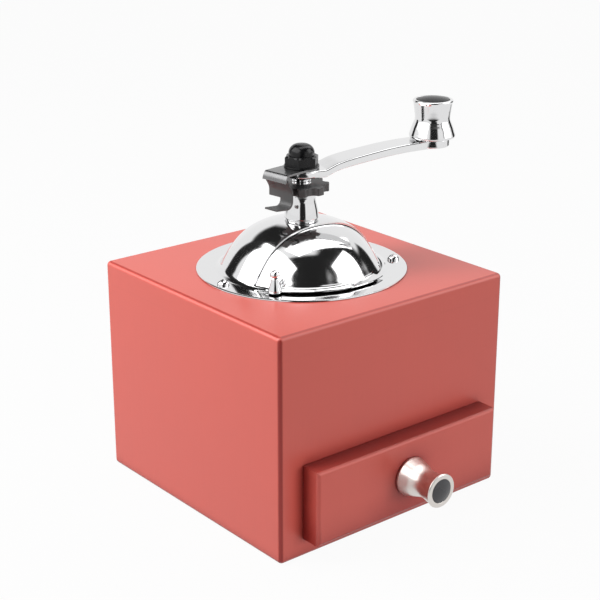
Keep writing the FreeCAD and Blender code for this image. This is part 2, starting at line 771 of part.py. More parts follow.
def crank_arm():
    """The bar from the spindle square up to the knob."""
    root, half = hub_thickness / 2, arm_thickness / 2
    start = hub_bottom + root
    end = arm_end_bottom + half
    reach = crank_length + arm_end_radius + 1
    rise = end - start
    spine = [(hub_radius + arm_start_gap, start), (0.26 * crank_length, start + 0.33 * rise)]
    spine += [(0.45 * crank_length, start + 0.60 * rise), (0.7 * crank_length, start + 0.86 * rise)]
    spine += [(crank_length, end)]
    swell = (half - root) / (crank_length - spine[0][0])
    upper = [(u, z + root + swell * (u - spine[0][0])) for u, z in spine]
    lower = [(u, z - root - swell * (u - spine[0][0])) for u, z in reversed(spine)]
    edges = [line((0, start + root), upper[0]), flow(upper), line(upper[-1], (reach, end + half))]
    edges += [line((reach, end + half), (reach, end - half)), line((reach, end - half), lower[0])]
    edges += [flow(lower), line(lower[-1], (0, start - root)), line((0, start - root), (0, start + root))]
    profile = Part.Face(Part.Wire(edges))
    profile.translate(Vector(0, -hub_radius - 1, 0))
    bar = profile.extrude(Vector(0, 2 * hub_radius + 2, 0))
    plan = [Vector(0, -0.92 * hub_radius, 0), Vector(crank_length, -arm_end_radius, 0)]
    plan += [Vector(crank_length, arm_end_radius, 0), Vector(0, 0.92 * hub_radius, 0)]
    plan += [Vector(0, -0.92 * hub_radius, 0)]
    outline = Part.Face(Part.makePolygon(plan)).extrude(Vector(0, 0, 400))
    outline = outline.fuse(post(arm_end_radius, 0, 400, crank_length, 0)).removeSplitter()
    arm = bar.common(outline)
    hub = post(hub_radius, hub_bottom, hub_top)
    arm = arm.fuse(hub).removeSplitter()
    arm = arm.cut(square_hole(hub_bottom - 1, hub_top + 1))
    arm = arm.cut(post(axle_radius, arm_end_bottom - 1, arm_end_top + 1, crank_length, 0))
    return moved(arm, crank_angle)


def knob_axle():
    """The riveted pin on which the crank knob turns."""
    top = crank_knob_bottom + crank_knob_height - crank_knob_cap_depth - end_gap
    axle = post(axle_radius, arm_end_bottom, top)
    head = post(axle_head_radius, top - axle_head_thickness, top)
    return moved(axle.fuse(head).removeSplitter(), 0, crank_end[0], crank_end[1])


def crank_knob():
    """The waisted knob with a socket for its cap and a counterbore for the axle head."""
    height = crank_knob_height
    base, waist, top = crank_knob_base_radius, crank_knob_waist_radius, crank_knob_top_radius
    socket = height - crank_knob_cap_depth
    seat = socket - axle_head_thickness - 2 * end_gap
    bore, wide = axle_radius + running_gap, axle_head_radius + fit_gap
    side = [(base, 1.4), (base - 1.6, 0.28 * height), (waist, height - crank_knob_waist_drop)]
    side += [(top - 0.5, height - 1.4)]
    edges = [line((bore, 0), (base - 0.6, 0)), line((base - 0.6, 0), side[0]), flow(side)]
    edges += [bow(side[-1], (top, height - 0.6), (top - 0.6, height))]
    edges += [line((top - 0.6, height), (crank_knob_cap_radius, height))]
    edges += [line((crank_knob_cap_radius, height), (crank_knob_cap_radius, socket))]
    edges += [line((crank_knob_cap_radius, socket), (wide, socket)), line((wide, socket), (wide, seat))]
    edges += [line((wide, seat), (bore, seat)), line((bore, seat), (bore, 0))]
    return moved(turned(edges), 0, crank_end[0], crank_end[1], crank_knob_bottom)


def crank_knob_cap():
    """The dark domed cap in the top of the crank knob."""
    cap = button(crank_knob_cap_radius, crank_knob_cap_rise, crank_knob_cap_depth, crank_knob_height)
    return moved(cap, 0, crank_end[0], crank_end[1], crank_knob_bottom)


def acorn_nut():
    """The domed nut on top of the spindle."""
    z0 = plate_top
    z1 = z0 + nut_washer_height
    z2 = z1 + nut_hex_height
    top = z0 + nut_height
    washer = post(nut_washer_radius, z0, z1)
    bar = moved(hexagon(nut_across_flats, z1, z2), nut_turn)
    slope = Part.makeCone(nut_across_flats / 2 + nut_hex_height * 1.25, nut_across_flats * 0.47, nut_hex_height,
                          Vector(0, 0, z1))
    bar = bar.common(slope)
    dome = post(nut_dome_radius, z2, top)
    rims = [e for e in dome.Edges if e.BoundBox.ZMin > top - 0.01]
    dome = dome.makeFillet(nut_dome_round, rims)
    nut = washer.fuse([bar, dome]).removeSplitter()
    return nut.cut(post(stud_radius, z0 - 1, z0 + stud_length))


# Adjusting wheel and latch

def adjusting_wheel():
    """The lobed wheel on the spindle thread."""
    z0, z1 = wheel_bottom, wheel_bottom + wheel_thickness
    wheel = post(wheel_radius, z0, z1)
    reach = wheel_radius - wheel_valley_depth + wheel_valley_radius
    step = 360.0 / wheel_lobes
    cuts = [post(wheel_valley_radius, z0 - 1, z1 + 1, *on_circle(reach, step * (k + 0.5))) for k in range(wheel_lobes)]
    wheel = wheel.cut(cuts)
    uprights = [e for e in wheel.Edges if e.BoundBox.ZLength > 1 and e.BoundBox.XLength + e.BoundBox.YLength < 0.01]
    wheel = wheel.makeFillet(wheel_edge_round, uprights)
    wheel = wheel.cut(post(spindle_thread_radius + running_gap, z0 - 1, z1 + 1))
    return moved(wheel, latch_angle)


def latch_frame(shape):
    """Turn a latch piece from the X direction to where the latch stands."""
    return moved(shape, latch_angle)


hinge_z = plate_top - latch_barrel_radius


def barrel(width, y0):
    """A hinge knuckle along Y at the latch hinge."""
    at = Vector(latch_hinge_reach, y0, hinge_z)
    return Part.makeCylinder(latch_barrel_radius, width, at, Vector(0, 1, 0))


def pin_hole(radius):
    """A hole right through the latch hinge."""
    at = Vector(latch_hinge_reach, -latch_width, hinge_z)
    return Part.makeCylinder(radius, 2 * latch_width, at, Vector(0, 1, 0))


def latch_plate():
    """The plate under the nut, rolled into the middle knuckle of the latch hinge."""
    middle = latch_knuckle_width / 2 - latch_knuckle_gap
    half = latch_width / 2
    stop = latch_hinge_reach - latch_barrel_radius - latch_knuckle_gap
    disc = post(latch_plate_radius, hub_top, plate_top)
    strip = block(0, stop, -half, half, hub_top, plate_top)
    neck = block(0, latch_hinge_reach, -middle, middle, hub_top, plate_top)
    plate = disc.fuse([strip, neck, barrel(2 * middle, -middle)]).removeSplitter()
    plate = latch_frame(plate.cut(pin_hole(latch_pin_radius)))
    return plate.cut(moved(square_hole(hub_top - 1, plate_top + 1), crank_angle))


def latch_pin():
    """The pin through the latch knuckles."""
    at = Vector(latch_hinge_reach, -latch_width / 2, hinge_z)
    return latch_frame(Part.makeCylinder(latch_pin_radius, latch_width, at, Vector(0, 1, 0)))


def latch_outline():
    """The side view of the latch sheet, from the hinge down past the wheel to its curled tip."""
    inner = wheel_radius + latch_wheel_gap
    outer = inner + latch_sheet
    low = hinge_z - latch_drop
    knee = wheel_bottom + wheel_thickness
    curl, reach = latch_curl_radius, latch_curl_radius + latch_sheet
    centre = (outer + curl, low + curl)
    near, far = latch_hinge_reach + latch_barrel_radius - latch_sheet, latch_hinge_reach + latch_barrel_radius
    bend = sqrt(0.5)
    tip_low, tip_high = centre[1] - reach + latch_sheet, centre[1] - reach + 2 * latch_sheet
    edges = [line((near, hinge_z), (inner, knee)), line((inner, knee), (inner, centre[1]))]
    edges += [bow((inner, centre[1]), (centre[0] - reach * bend, centre[1] - reach * bend),
                  (centre[0], centre[1] - reach))]
    edges += [line((centre[0], centre[1] - reach), (latch_tip_reach, tip_low))]
    edges += [line((latch_tip_reach, tip_low), (latch_tip_reach, tip_high))]
    edges += [line((latch_tip_reach, tip_high), (centre[0], centre[1] - curl))]
    edges += [bow((centre[0], centre[1] - curl), (centre[0] - curl * bend, centre[1] - curl * bend),
                  (outer, centre[1]))]
    edges += [line((outer, centre[1]), (outer, knee)), line((outer, knee), (far, hinge_z))]
    edges += [line((far, hinge_z), (near, hinge_z))]
    return edges


def latch_tongue():
    """The sprung sheet: a wide flange on two knuckles, and a tongue at its front end that curls out at its foot."""
    half, middle = latch_width / 2, latch_knuckle_width / 2
    face = Part.Face(Part.Wire(latch_outline()))
    face.translate(Vector(0, -half, 0))
    blade = face.extrude(Vector(0, latch_width, 0))
    floor = hinge_z - latch_flange_drop
    lowest = hinge_z - latch_drop - latch_curl_radius
    blade = blade.cut(block(0, latch_tip_reach + 1, -half - 1, half - latch_tongue_width, lowest, floor))
    width = half - middle
    sheet = blade.fuse([barrel(width, -half), barrel(width, middle)]).removeSplitter()
    room = Part.makeCylinder(latch_barrel_radius + latch_knuckle_gap, latch_knuckle_width,
                             Vector(latch_hinge_reach, -middle, hinge_z), Vector(0, 1, 0))
    return latch_frame(sheet.cut(room).cut(pin_hole(latch_pin_radius + running_gap)))


def build():
    """Every node of the mill, by name."""
    envelope = case_envelope()
    nodes = {
        "front_panel": front_panel(envelope),
        "back_panel": back_panel(envelope),
        "left_panel": side_panel(envelope, -90),
        "right_panel": side_panel(envelope, 90),
        "top_panel": top_panel(envelope),
        "base_panel": base_panel(envelope),
        "drawer_guide_left": drawer_guide(-1),
        "drawer_guide_right": drawer_guide(1),
        "drawer_front": drawer_front(),
        "drawer_left_side": drawer_side(-1),
        "drawer_right_side": drawer_side(1),
        "drawer_back": drawer_back(),
        "drawer_bottom": drawer_bottom(),
        "drawer_knob": drawer_knob(),
        "drawer_knob_cap": drawer_knob_cap(),
        "drawer_knob_screw": drawer_knob_screw(),
        "hopper_dome": hopper_dome(),
        "shutter": shutter(),
        "shutter_post": shutter_post(),
        "neck_collar": neck_collar(),
        "upper_bush": upper_bush(),
        "hopper_funnel": hopper_funnel(),
        "burr_housing": burr_housing(),
        "outer_burr": outer_burr(),
        "inner_burr": inner_burr(),
        "lower_bridge": lower_bridge(),
        "lower_bush": lower_bush(),
        "spindle": spindle(),
        "burr_nut": burr_nut(),
        "crank_arm": crank_arm(),
        "knob_axle": knob_axle(),
        "crank_knob": crank_knob(),
        "crank_knob_cap": crank_knob_cap(),
        "acorn_nut": acorn_nut(),
        "adjusting_wheel": adjusting_wheel(),
        "latch_plate": latch_plate(),
        "latch_pin": latch_pin(),
        "latch_tongue": latch_tongue(),
    }
    for k, (angle, spot) in enumerate(flange_spots):
        nodes["flange_screw_%d" % (k + 1)] = flange_screw(angle, spot)
    for k, (angle, spot) in enumerate(housing_spots):
        nodes["housing_screw_%d" % (k + 1)] = housing_screw(spot)
    for k, (angle, spot) in enumerate(bridge_spots):
        nodes["bridge_screw_%d" % (k + 1)] = bridge_screw(spot)
    return nodes


os.makedirs("parts", exist_ok=True)
for name, shape in build().items():
    shape.exportStep("parts/%s.step" % name)
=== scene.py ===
import json
from math import acos, asin, atan2, cos, degrees, pi, radians, sin, sqrt

import bmesh
import bpy
from mathutils import Matrix, Vector


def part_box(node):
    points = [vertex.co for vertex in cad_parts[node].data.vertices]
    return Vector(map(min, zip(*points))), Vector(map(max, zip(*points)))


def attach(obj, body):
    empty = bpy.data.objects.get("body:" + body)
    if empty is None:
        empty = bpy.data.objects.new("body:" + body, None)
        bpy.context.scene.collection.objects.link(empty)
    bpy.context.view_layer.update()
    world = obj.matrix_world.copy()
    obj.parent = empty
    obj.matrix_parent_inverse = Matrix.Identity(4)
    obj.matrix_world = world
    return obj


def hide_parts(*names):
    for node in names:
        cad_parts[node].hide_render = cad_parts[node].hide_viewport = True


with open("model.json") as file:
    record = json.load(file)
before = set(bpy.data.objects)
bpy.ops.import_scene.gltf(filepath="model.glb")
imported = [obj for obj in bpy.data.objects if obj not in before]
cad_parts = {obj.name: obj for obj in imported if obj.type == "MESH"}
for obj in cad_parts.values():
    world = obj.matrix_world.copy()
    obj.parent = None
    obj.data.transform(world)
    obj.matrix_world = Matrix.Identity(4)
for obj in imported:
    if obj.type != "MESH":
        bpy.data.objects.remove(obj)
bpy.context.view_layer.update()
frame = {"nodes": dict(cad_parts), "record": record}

bl_info = {
    "name": "Box mill with a hand crank",
    "version": (1, 0, 0),
    "blender": (4, 5, 0),
    "location": "3D View > Sidebar > Mill",
    "description": "Dresses the wooden box mill: lacquered case, chrome hopper, crank, adjuster and drawer",
    "category": "Object",
}

NODES = frame["nodes"]
ROUND_STEPS = 128
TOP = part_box("top_panel")[1].z


# Sizes and colours that a user would change

def number(name, description, value, **settings):
    """A number that a user may change."""
    return bpy.props.FloatProperty(name=name, description=description, default=value, **settings)


def length(name, description, value):
    """A length in metres."""
    return number(name, description, value, unit="LENGTH", precision=5)


def turn(name, description, value):
    """An angle, given in degrees."""
    return number(name, description, radians(value), unit="ROTATION")


def power(name, description, value):
    """A lamp's power in watts."""
    return number(name, description, value, subtype="POWER")


def triple(name, description, value, **settings):
    """Three numbers that belong together."""
    return bpy.props.FloatVectorProperty(name=name, description=description, default=value, **settings)


def colour(name, description, value):
    """A colour without its alpha."""
    return triple(name, description, value, subtype="COLOR", min=0.0, max=1.0)


class HopperSizes(bpy.types.PropertyGroup):
    flange_radius: length("Flange radius", "Outer radius of the spun flange", 0.056)
    dome_radius: length("Dome radius", "Radius of the dome's sphere", 0.049687)
    dome_height: length("Dome height", "Height of the crown above the box", 0.027)
    dome_swell: length("Dome swell", "How far the shoulder stands off the sphere", 0.0017)
    sheet: length("Sheet", "Thickness of the spun sheet", 0.0008)
    fillet: length("Fillet", "Radius between dome and flange", 0.0045)
    setback: length("Window setback", "Distance of the window edge from the spindle", 0.012)
    sill: length("Window sill", "Height of the window's foot above the flange", 0.0006)
    shutter_gap: length("Shutter gap", "Space between dome and shutter", 0.0003)
    shutter_sheet: length("Shutter sheet", "Thickness of the shutter", 0.0006)
    shutter_overlap: length("Shutter overlap", "How far the shutter reaches behind the window edge", 0.004)
    lip_radius: length("Lip radius", "Outer radius of the shutter's lip", 0.047)
    ear: length("Ear", "Radius of the lip's ear under the post", 0.0036)
    lip_first: turn("Lip start", "Where the shutter's lip starts", -152.0)
    lip_last: turn("Lip end", "Where the shutter's lip ends", -66.0)
    bush_radius: length("Bush radius", "Radius of the bush in the crown", 0.0056)


class CrankSizes(bpy.types.PropertyGroup):
    reach: length("Reach", "From the spindle to the knob axle", 0.074)
    angle: turn("Angle", "Where the crank is parked", -19.4)
    hub_radius: length("Hub radius", "Radius of the crank's hub", 0.010)
    end_radius: length("End radius", "Half width of the arm under the knob", 0.0070)
    hub_thickness: length("Hub thickness", "Thickness of the hub", 0.0036)
    end_thickness: length("End thickness", "Thickness of the arm under the knob", 0.0044)
    upper_edge: length("Upper edges", "Rounding of the arm's upper edges", 0.0010)
    eye_radius: length("Eye radius", "Radius of the arm's round end under the knob", 0.0094)
    lower_edge: length("Lower edges", "Rounding of the arm's lower edges", 0.0003)


class LatchSizes(bpy.types.PropertyGroup):
    angle: turn("Angle", "Where the latch stands", 187.0)
    sheet: length("Sheet", "Thickness of the latch sheet", 0.001)
    width: length("Width", "Width of the plate and the flange", 0.0165)
    disc_radius: length("Disc radius", "Radius of the plate under the nut", 0.0093)
    bend_corner: length("Bend corner", "Where the plate would meet the slope of its bend", 0.01865)
    bend_round: length("Bend round", "How far the rounding reaches from that corner", 0.0026)
    nose_reach: length("Nose reach", "Reach of the lip at the foot of the bend", 0.0206)
    nose_drop: length("Nose drop", "How far the lip lies below the plate", 0.0042)
    swell: length("Swell", "How far the slope of the bend swells outwards", 0.00035)
    lip_sheet: length("Lip sheet", "Thickness at the lip of the bend", 0.0008)
    flange_top: length("Flange top", "Reach of the flange under the bend", 0.0189)
    flange_inner: length("Flange inner", "Reach of the flange beside the wheel", 0.01475)
    flange_drop: length("Flange drop", "Foot of the flange below the plate", 0.0137)
    tongue_width: length("Tongue width", "Width of the tongue", 0.0085)
    curl: length("Curl", "Inner radius of the tongue's curl", 0.003)
    tip_reach: length("Tip reach", "Reach of the tongue's tip", 0.027)


class MillColours(bpy.types.PropertyGroup):
    lacquer: colour("Lacquer", "Red lacquer of the box", (0.59, 0.102, 0.078))
    bare_wood: colour("Bare wood", "Pale wood of the drawer box and base", (0.56, 0.37, 0.21))
    chrome: colour("Chrome", "Bright plating", (0.75, 0.75, 0.755))
    steel: colour("Steel", "Plain turned steel", (0.58, 0.58, 0.585))
    black: colour("Black finish", "Glossy black of the nut", (0.005, 0.005, 0.0055))
    satin: colour("Satin black", "Blackened steel of the latch and the adjuster", (0.20, 0.20, 0.202))
    cap: colour("Caps", "Domed caps of the knobs", (0.010, 0.010, 0.011))
    iron: colour("Cast iron", "Burr housing and bridge", (0.10, 0.10, 0.105))
    brass: colour("Brass", "Spindle bushes", (0.72, 0.52, 0.24))


class StageSettings(bpy.types.PropertyGroup):
    lens: number("Lens", "Focal length in millimetres", 88.25, unit="CAMERA")
    camera_place: triple("Camera", "Where the camera stands", (-0.4713, -0.5723, 0.3692),
                         subtype="TRANSLATION", unit="LENGTH")
    camera_yaw: turn("Yaw", "Turn of the view from +Y towards +X", 39.41)
    camera_pitch: turn("Pitch", "Downward tilt of the view", 19.88)
    key_power: power("Key", "Power of the large soft light on the left", 18.5)
    top_power: power("Top", "Power of the overhead soft light", 0.25)
    side_power: power("Side", "Power of the soft light on the right", 0.6)
    back_power: power("Back", "Power of the soft light behind on the right", 2.4)
    front_power: power("Front", "Power of the low soft light in front", 5.8)
    softbox: number("Softbox", "Brightness of the softboxes in mirrors", 3.4)
    card: number("Card", "Brightness of the dark cards in mirrors", 0.02)
    ambient: number("Ambient", "Even light from all round", 0.05)


# Shader helpers

def node(tree, kind, inputs=(), **settings):
    """Add a node, set its properties and give its inputs links or plain values."""
    made = tree.nodes.new(kind)
    for key, value in settings.items():
        setattr(made, key, value)
    for key, source in dict(inputs).items():
        if isinstance(source, bpy.types.NodeSocket):
            tree.links.new(source, made.inputs[key])
        else:
            made.inputs[key].default_value = source
    return made


def math(tree, operation, a, b=0.0, clamp=False):
    """A math node on two values or links."""
    return node(tree, "ShaderNodeMath", {0: a, 1: b}, operation=operation, use_clamp=clamp).outputs[0]


def times(tree, a, b):
    """Two values or links multiplied."""
    return math(tree, "MULTIPLY", a, b)


def noise(tree, vector, scale, detail=4.0, roughness=0.55, distortion=0.0):
    """A noise value between 0 and 1."""
    inputs = {"Vector": vector, "Scale": scale, "Detail": detail, "Roughness": roughness,
              "Distortion": distortion}
    return node(tree, "ShaderNodeTexNoise", inputs).outputs["Fac"]


def remap(tree, value, low, high, new_low=0.0, new_high=1.0, **settings):
    """Stretch part of a value's range on to another range."""
    inputs = enumerate((value, low, high, new_low, new_high))
    return node(tree, "ShaderNodeMapRange", inputs, **settings).outputs[0]


def band(tree, value, rise, fall):
    """1 between a rising and a falling slope of a value, 0 outside them."""
    return times(tree, remap(tree, value, *rise), remap(tree, value, *fall, 1.0, 0.0))


def varied(tree, base, value, share):
    """A base that a value between 0 and 1 moves up and down."""
    return math(tree, "ADD", base, times(tree, math(tree, "SUBTRACT", value, 0.5), share))


def split(tree, vector):
    """X and Y without their signs, and Z."""
    made = node(tree, "ShaderNodeSeparateXYZ", {0: vector}).outputs
    return math(tree, "ABSOLUTE", made[0]), math(tree, "ABSOLUTE", made[1]), made[2]


def object_space(tree):
    """The coordinates that the effects lie in."""
    return node(tree, "ShaderNodeTexCoord").outputs["Object"]


def stretched(tree, scale):
    """Object coordinates stretched along the axes."""
    return node(tree, "ShaderNodeMapping", {"Vector": object_space(tree), "Scale": scale}).outputs["Vector"]


def facing(tree):
    """The normal of the surface."""
    return node(tree, "ShaderNodeNewGeometry").outputs["Normal"]


def blend(tree, factor, a, b):
    """Mix two colours."""
    return node(tree, "ShaderNodeMix", {"Factor": factor, 6: a, 7: b}, data_type="RGBA").outputs[2]


def mixed(tree, share, first, second):
    """Mix two shaders."""
    return node(tree, "ShaderNodeMixShader", enumerate((share, first, second))).outputs[0]


def white_light(tree, kind, strength):
    """An emission or background shader without a tint."""
    return node(tree, kind, {"Color": (1.0, 1.0, 1.0, 1.0), "Strength": strength}).outputs[0]


# Shared effects

GROUPS = {}


def effect(inputs, outputs):
    """Mark a function that wires a shared effect with the sockets of its node group."""
    def marked(wire):
        wire.sockets = {"INPUT": inputs, "OUTPUT": outputs}
        return wire
    return marked


def new_group(wire):
    """The shader node group of a shared effect."""
    tree = bpy.data.node_groups.new(wire.__name__, "ShaderNodeTree")
    for way, labels in wire.sockets.items():
        for label in labels:
            kind = "NodeSocketColor" if label == "Colour" else "NodeSocketFloat"
            tree.interface.new_socket(label, in_out=way, socket_type=kind)
    start, end = tree.nodes.new("NodeGroupInput"), tree.nodes.new("NodeGroupOutput")
    for source, target in zip(wire(tree, start.outputs), end.inputs):
        tree.links.new(source, target)
    return tree


def group(material, wire, **values):
    """Place a shared effect in a material with its own values."""
    tree = material.node_tree
    if wire.__name__ not in GROUPS:
        GROUPS[wire.__name__] = new_group(wire)
    return node(tree, "ShaderNodeGroup", values, node_tree=GROUPS[wire.__name__]).outputs


@effect(["Roughness", "Smear", "Scale"], ["Roughness", "Height"])
def handled_polish(tree, get):
    """Faint smears and hairlines on polished surfaces."""
    where = object_space(tree)
    wide = noise(tree, where, times(tree, get["Scale"], 45.0), 3.0, 0.5, 0.6)
    fine = noise(tree, where, times(tree, get["Scale"], 900.0), 2.0)
    worn = times(tree, remap(tree, wide, 0.48, 0.72), get["Smear"])
    grain = times(tree, fine, times(tree, get["Smear"], 0.25))
    rough = math(tree, "ADD", get["Roughness"], math(tree, "ADD", worn, grain))
    return rough, math(tree, "ADD", wide, times(tree, fine, 0.15))


@effect(["Colour", "Cloud", "Roughness"], ["Colour", "Roughness", "Height"])
def lacquer_skin(tree, get):
    """Slight clouding, orange peel and telegraphed grain of lacquer over wood."""
    where = object_space(tree)
    cloud = noise(tree, where, 16.0, 3.0, 0.5)
    peel = noise(tree, where, 620.0, 2.0, 0.5)
    grain = noise(tree, stretched(tree, (900.0, 900.0, 26.0)), 1.0, 3.0, 0.6, 0.3)
    tone = varied(tree, varied(tree, 1.0, cloud, get["Cloud"]), grain, 0.035)
    scaled = node(tree, "ShaderNodeVectorMath", {0: get["Colour"], "Scale": tone}, operation="SCALE")
    height = math(tree, "ADD", times(tree, peel, 0.7), times(tree, grain, 0.5))
    return scaled.outputs[0], varied(tree, get["Roughness"], cloud, 0.10), height


@effect(["Radius", "Amount"], ["Mask"])
def edge_rub(tree, get):
    """Where an edge has been rubbed by hands and cloths."""
    soft = node(tree, "ShaderNodeBevel", {"Radius": get["Radius"]}, samples=6).outputs[0]
    dot = node(tree, "ShaderNodeVectorMath", {0: soft, 1: facing(tree)}, operation="DOT_PRODUCT")
    edge = remap(tree, dot.outputs["Value"], 0.995, 0.90)
    patch = remap(tree, noise(tree, object_space(tree), 190.0), 0.35, 0.65, 0.25)
    return [times(tree, times(tree, edge, patch), get["Amount"])]


@effect(["Amount"], ["Dark", "Pale"])
def corner_line(tree, get):
    """Painted shade along a box's upright corners and round its top, and a painted highlight on the arris
    below the top, picked by the surface's facing.
    """
    across, along, up = split(tree, facing(tree))
    # The colour is darkened where shade would fall on the rounded edges and lightened where a highlight would
    # show.
    upright = remap(tree, times(tree, across, along), 0.20, 0.42)
    top_edge_shade = times(tree, band(tree, up, (0.74, 0.84), (0.96, 0.995)), 0.75)
    dark = math(tree, "MAXIMUM", upright, top_edge_shade)
    arris_highlight = band(tree, up, (0.28, 0.42), (0.62, 0.74))
    pale = times(tree, arris_highlight, math(tree, "SUBTRACT", 1.0, upright))
    return [times(tree, mask, get["Amount"]) for mask in (dark, pale)]


@effect(["Reach", "Amount"], ["Mask"])
def inner_corner(tree, get):
    """How deep a place lies in an inner corner, which is darkened as painted shade where light does not
    reach.
    """
    # Ambient occlusion gives the mask of painted shade.
    open_sky = node(tree, "ShaderNodeAmbientOcclusion", {"Distance": get["Reach"]}, samples=8)
    return [times(tree, remap(tree, open_sky.outputs["AO"], 0.92, 0.55), get["Amount"])]


@effect(["Colour", "Contrast"], ["Colour", "Roughness", "Height"])
def wood_figure(tree, get):
    """Growth lines and pores of plain pale wood, running along Y."""
    lines = noise(tree, stretched(tree, (260.0, 9.0, 260.0)), 1.0, 5.0, 0.6, 0.7)
    pores = noise(tree, stretched(tree, (2200.0, 70.0, 2200.0)), 1.0, 2.0)
    shares = {0: get["Colour"], 1: (0.62, 0.52, 0.42)}
    dark = node(tree, "ShaderNodeVectorMath", shares, operation="MULTIPLY")
    line = times(tree, remap(tree, lines, 0.38, 0.68), get["Contrast"])
    pore = times(tree, remap(tree, pores, 0.60, 0.72), 0.3)
    figured = blend(tree, math(tree, "ADD", line, pore, clamp=True), get["Colour"], dark.outputs[0])
    rough = remap(tree, lines, 0.2, 0.8, 0.50, 0.66)
    return figured, rough, math(tree, "SUBTRACT", lines, times(tree, pores, 0.4))


@effect(["Roughness", "Depth"], ["Roughness", "Height"])
def lathe_lines(tree, get):
    """Fine rings left by a lathe round the spindle axis."""
    rings = noise(tree, stretched(tree, (30.0, 30.0, 4200.0)), 1.0, 3.0)
    return varied(tree, get["Roughness"], rings, get["Depth"]), rings


@effect(["Roughness"], ["Roughness", "Height"])
def sand_cast(tree, get):
    """Pitted skin of a small iron casting."""
    coarse = noise(tree, object_space(tree), 420.0, 5.0, 0.65)
    return varied(tree, get["Roughness"], coarse, 0.3), coarse


# Finishes

def new_material(name, metallic=0.0, base=(0.8, 0.8, 0.8), rough=0.5):
    """A material with only a Principled shader."""
    made = bpy.data.materials.new(name)
    made.use_nodes = True
    shader = made.node_tree.nodes["Principled BSDF"]
    shader.inputs["Metallic"].default_value = metallic
    shader.inputs["Base Color"].default_value = (*base, 1.0)
    shader.inputs["Roughness"].default_value = rough
    return made, shader


def surface(material, shader, skin, distance, strength):
    """Give a shader the roughness and the bump of a shared effect."""
    tree = material.node_tree
    inputs = {"Strength": strength, "Distance": distance, "Height": skin["Height"]}
    bump = node(tree, "ShaderNodeBump", inputs)
    tree.links.new(bump.outputs["Normal"], shader.inputs["Normal"])
    tree.links.new(skin["Roughness"], shader.inputs["Roughness"])
    return material


def toned(base, *shares):
    """A colour times one share, or times a share for each channel."""
    return [c * share for c, share in zip(base, shares * 3)]


def lacquer_finish(name, base, rubbed, edge_light_amount, reach, corner_shade_amount):
    """Satin lacquer, a little rubbed along the edges, with painted shade along upright corners, round the top
    and in inner corners, and a painted highlight below the top.
    """
    made, shader = new_material(name)
    tree = made.node_tree
    skin = group(made, lacquer_skin, Colour=(*base, 1.0), Cloud=0.07, Roughness=0.34)
    rub = group(made, edge_rub, Radius=0.0018, Amount=rubbed)
    corner = group(made, corner_line, Amount=edge_light_amount)
    inner = group(made, inner_corner, Reach=reach, Amount=corner_shade_amount)
    # Dark and pale tints painted into the colour stand for shade at the edges and in inner corners and for a
    # highlight below the top.
    deep, dark = toned(base, 0.62), toned(base, 0.45, 0.14, 0.14)
    pale = [c + 0.05 for c in base]
    shade = skin["Colour"]
    tints = ((rub["Mask"], deep), (corner["Pale"], pale), (corner["Dark"], dark), (inner["Mask"], dark))
    for mask, tint in tints:
        shade = blend(tree, mask, shade, (*tint, 1.0))
    tree.links.new(shade, shader.inputs["Base Color"])
    shader.inputs["Specular IOR Level"].default_value = 0.46
    return surface(made, shader, skin, 0.00006, 0.22)


def wood_finish(name, base):
    """Plain pale wood, lightly sealed."""
    made, shader = new_material(name)
    figure = group(made, wood_figure, Colour=(*base, 1.0), Contrast=0.4)
    made.node_tree.links.new(figure["Colour"], shader.inputs["Base Color"])
    return surface(made, shader, figure, 0.0001, 0.35)


def polished_finish(name, base, rough, smear, scale):
    """Bright plating with faint smears."""
    made, shader = new_material(name, 1.0, base, rough)
    skin = group(made, handled_polish, Roughness=rough, Smear=smear, Scale=scale)
    return surface(made, shader, skin, 0.00002, 0.025)


def turned_finish(name, base, rough):
    """Plain metal with lathe rings."""
    made, shader = new_material(name, 1.0, base, rough)
    return surface(made, shader, group(made, lathe_lines, Roughness=rough, Depth=0.16), 0.00004, 0.25)


def iron_finish(name, base, rough):
    """Oiled cast iron."""
    made, shader = new_material(name, 0.85, base, rough)
    return surface(made, shader, group(made, sand_cast, Roughness=rough), 0.0002, 0.5)


def black_finish(name, base, rough, rub, shine, metallic=0.0):
    """Glossy black on metal or plastic, paler where edges are rubbed."""
    made, shader = new_material(name, metallic, base, rough)
    tree = made.node_tree
    skin = group(made, handled_polish, Roughness=rough, Smear=0.10, Scale=2.0)
    mask = group(made, edge_rub, Radius=0.0004, Amount=rub)
    bright = [0.04 + c for c in base]
    tree.links.new(blend(tree, mask["Mask"], (*base, 1.0), (*bright, 1.0)), shader.inputs["Base Color"])
    shader.inputs["Specular IOR Level"].default_value = shine
    return surface(made, shader, skin, 0.00003, 0.12)


FINISHES = {}


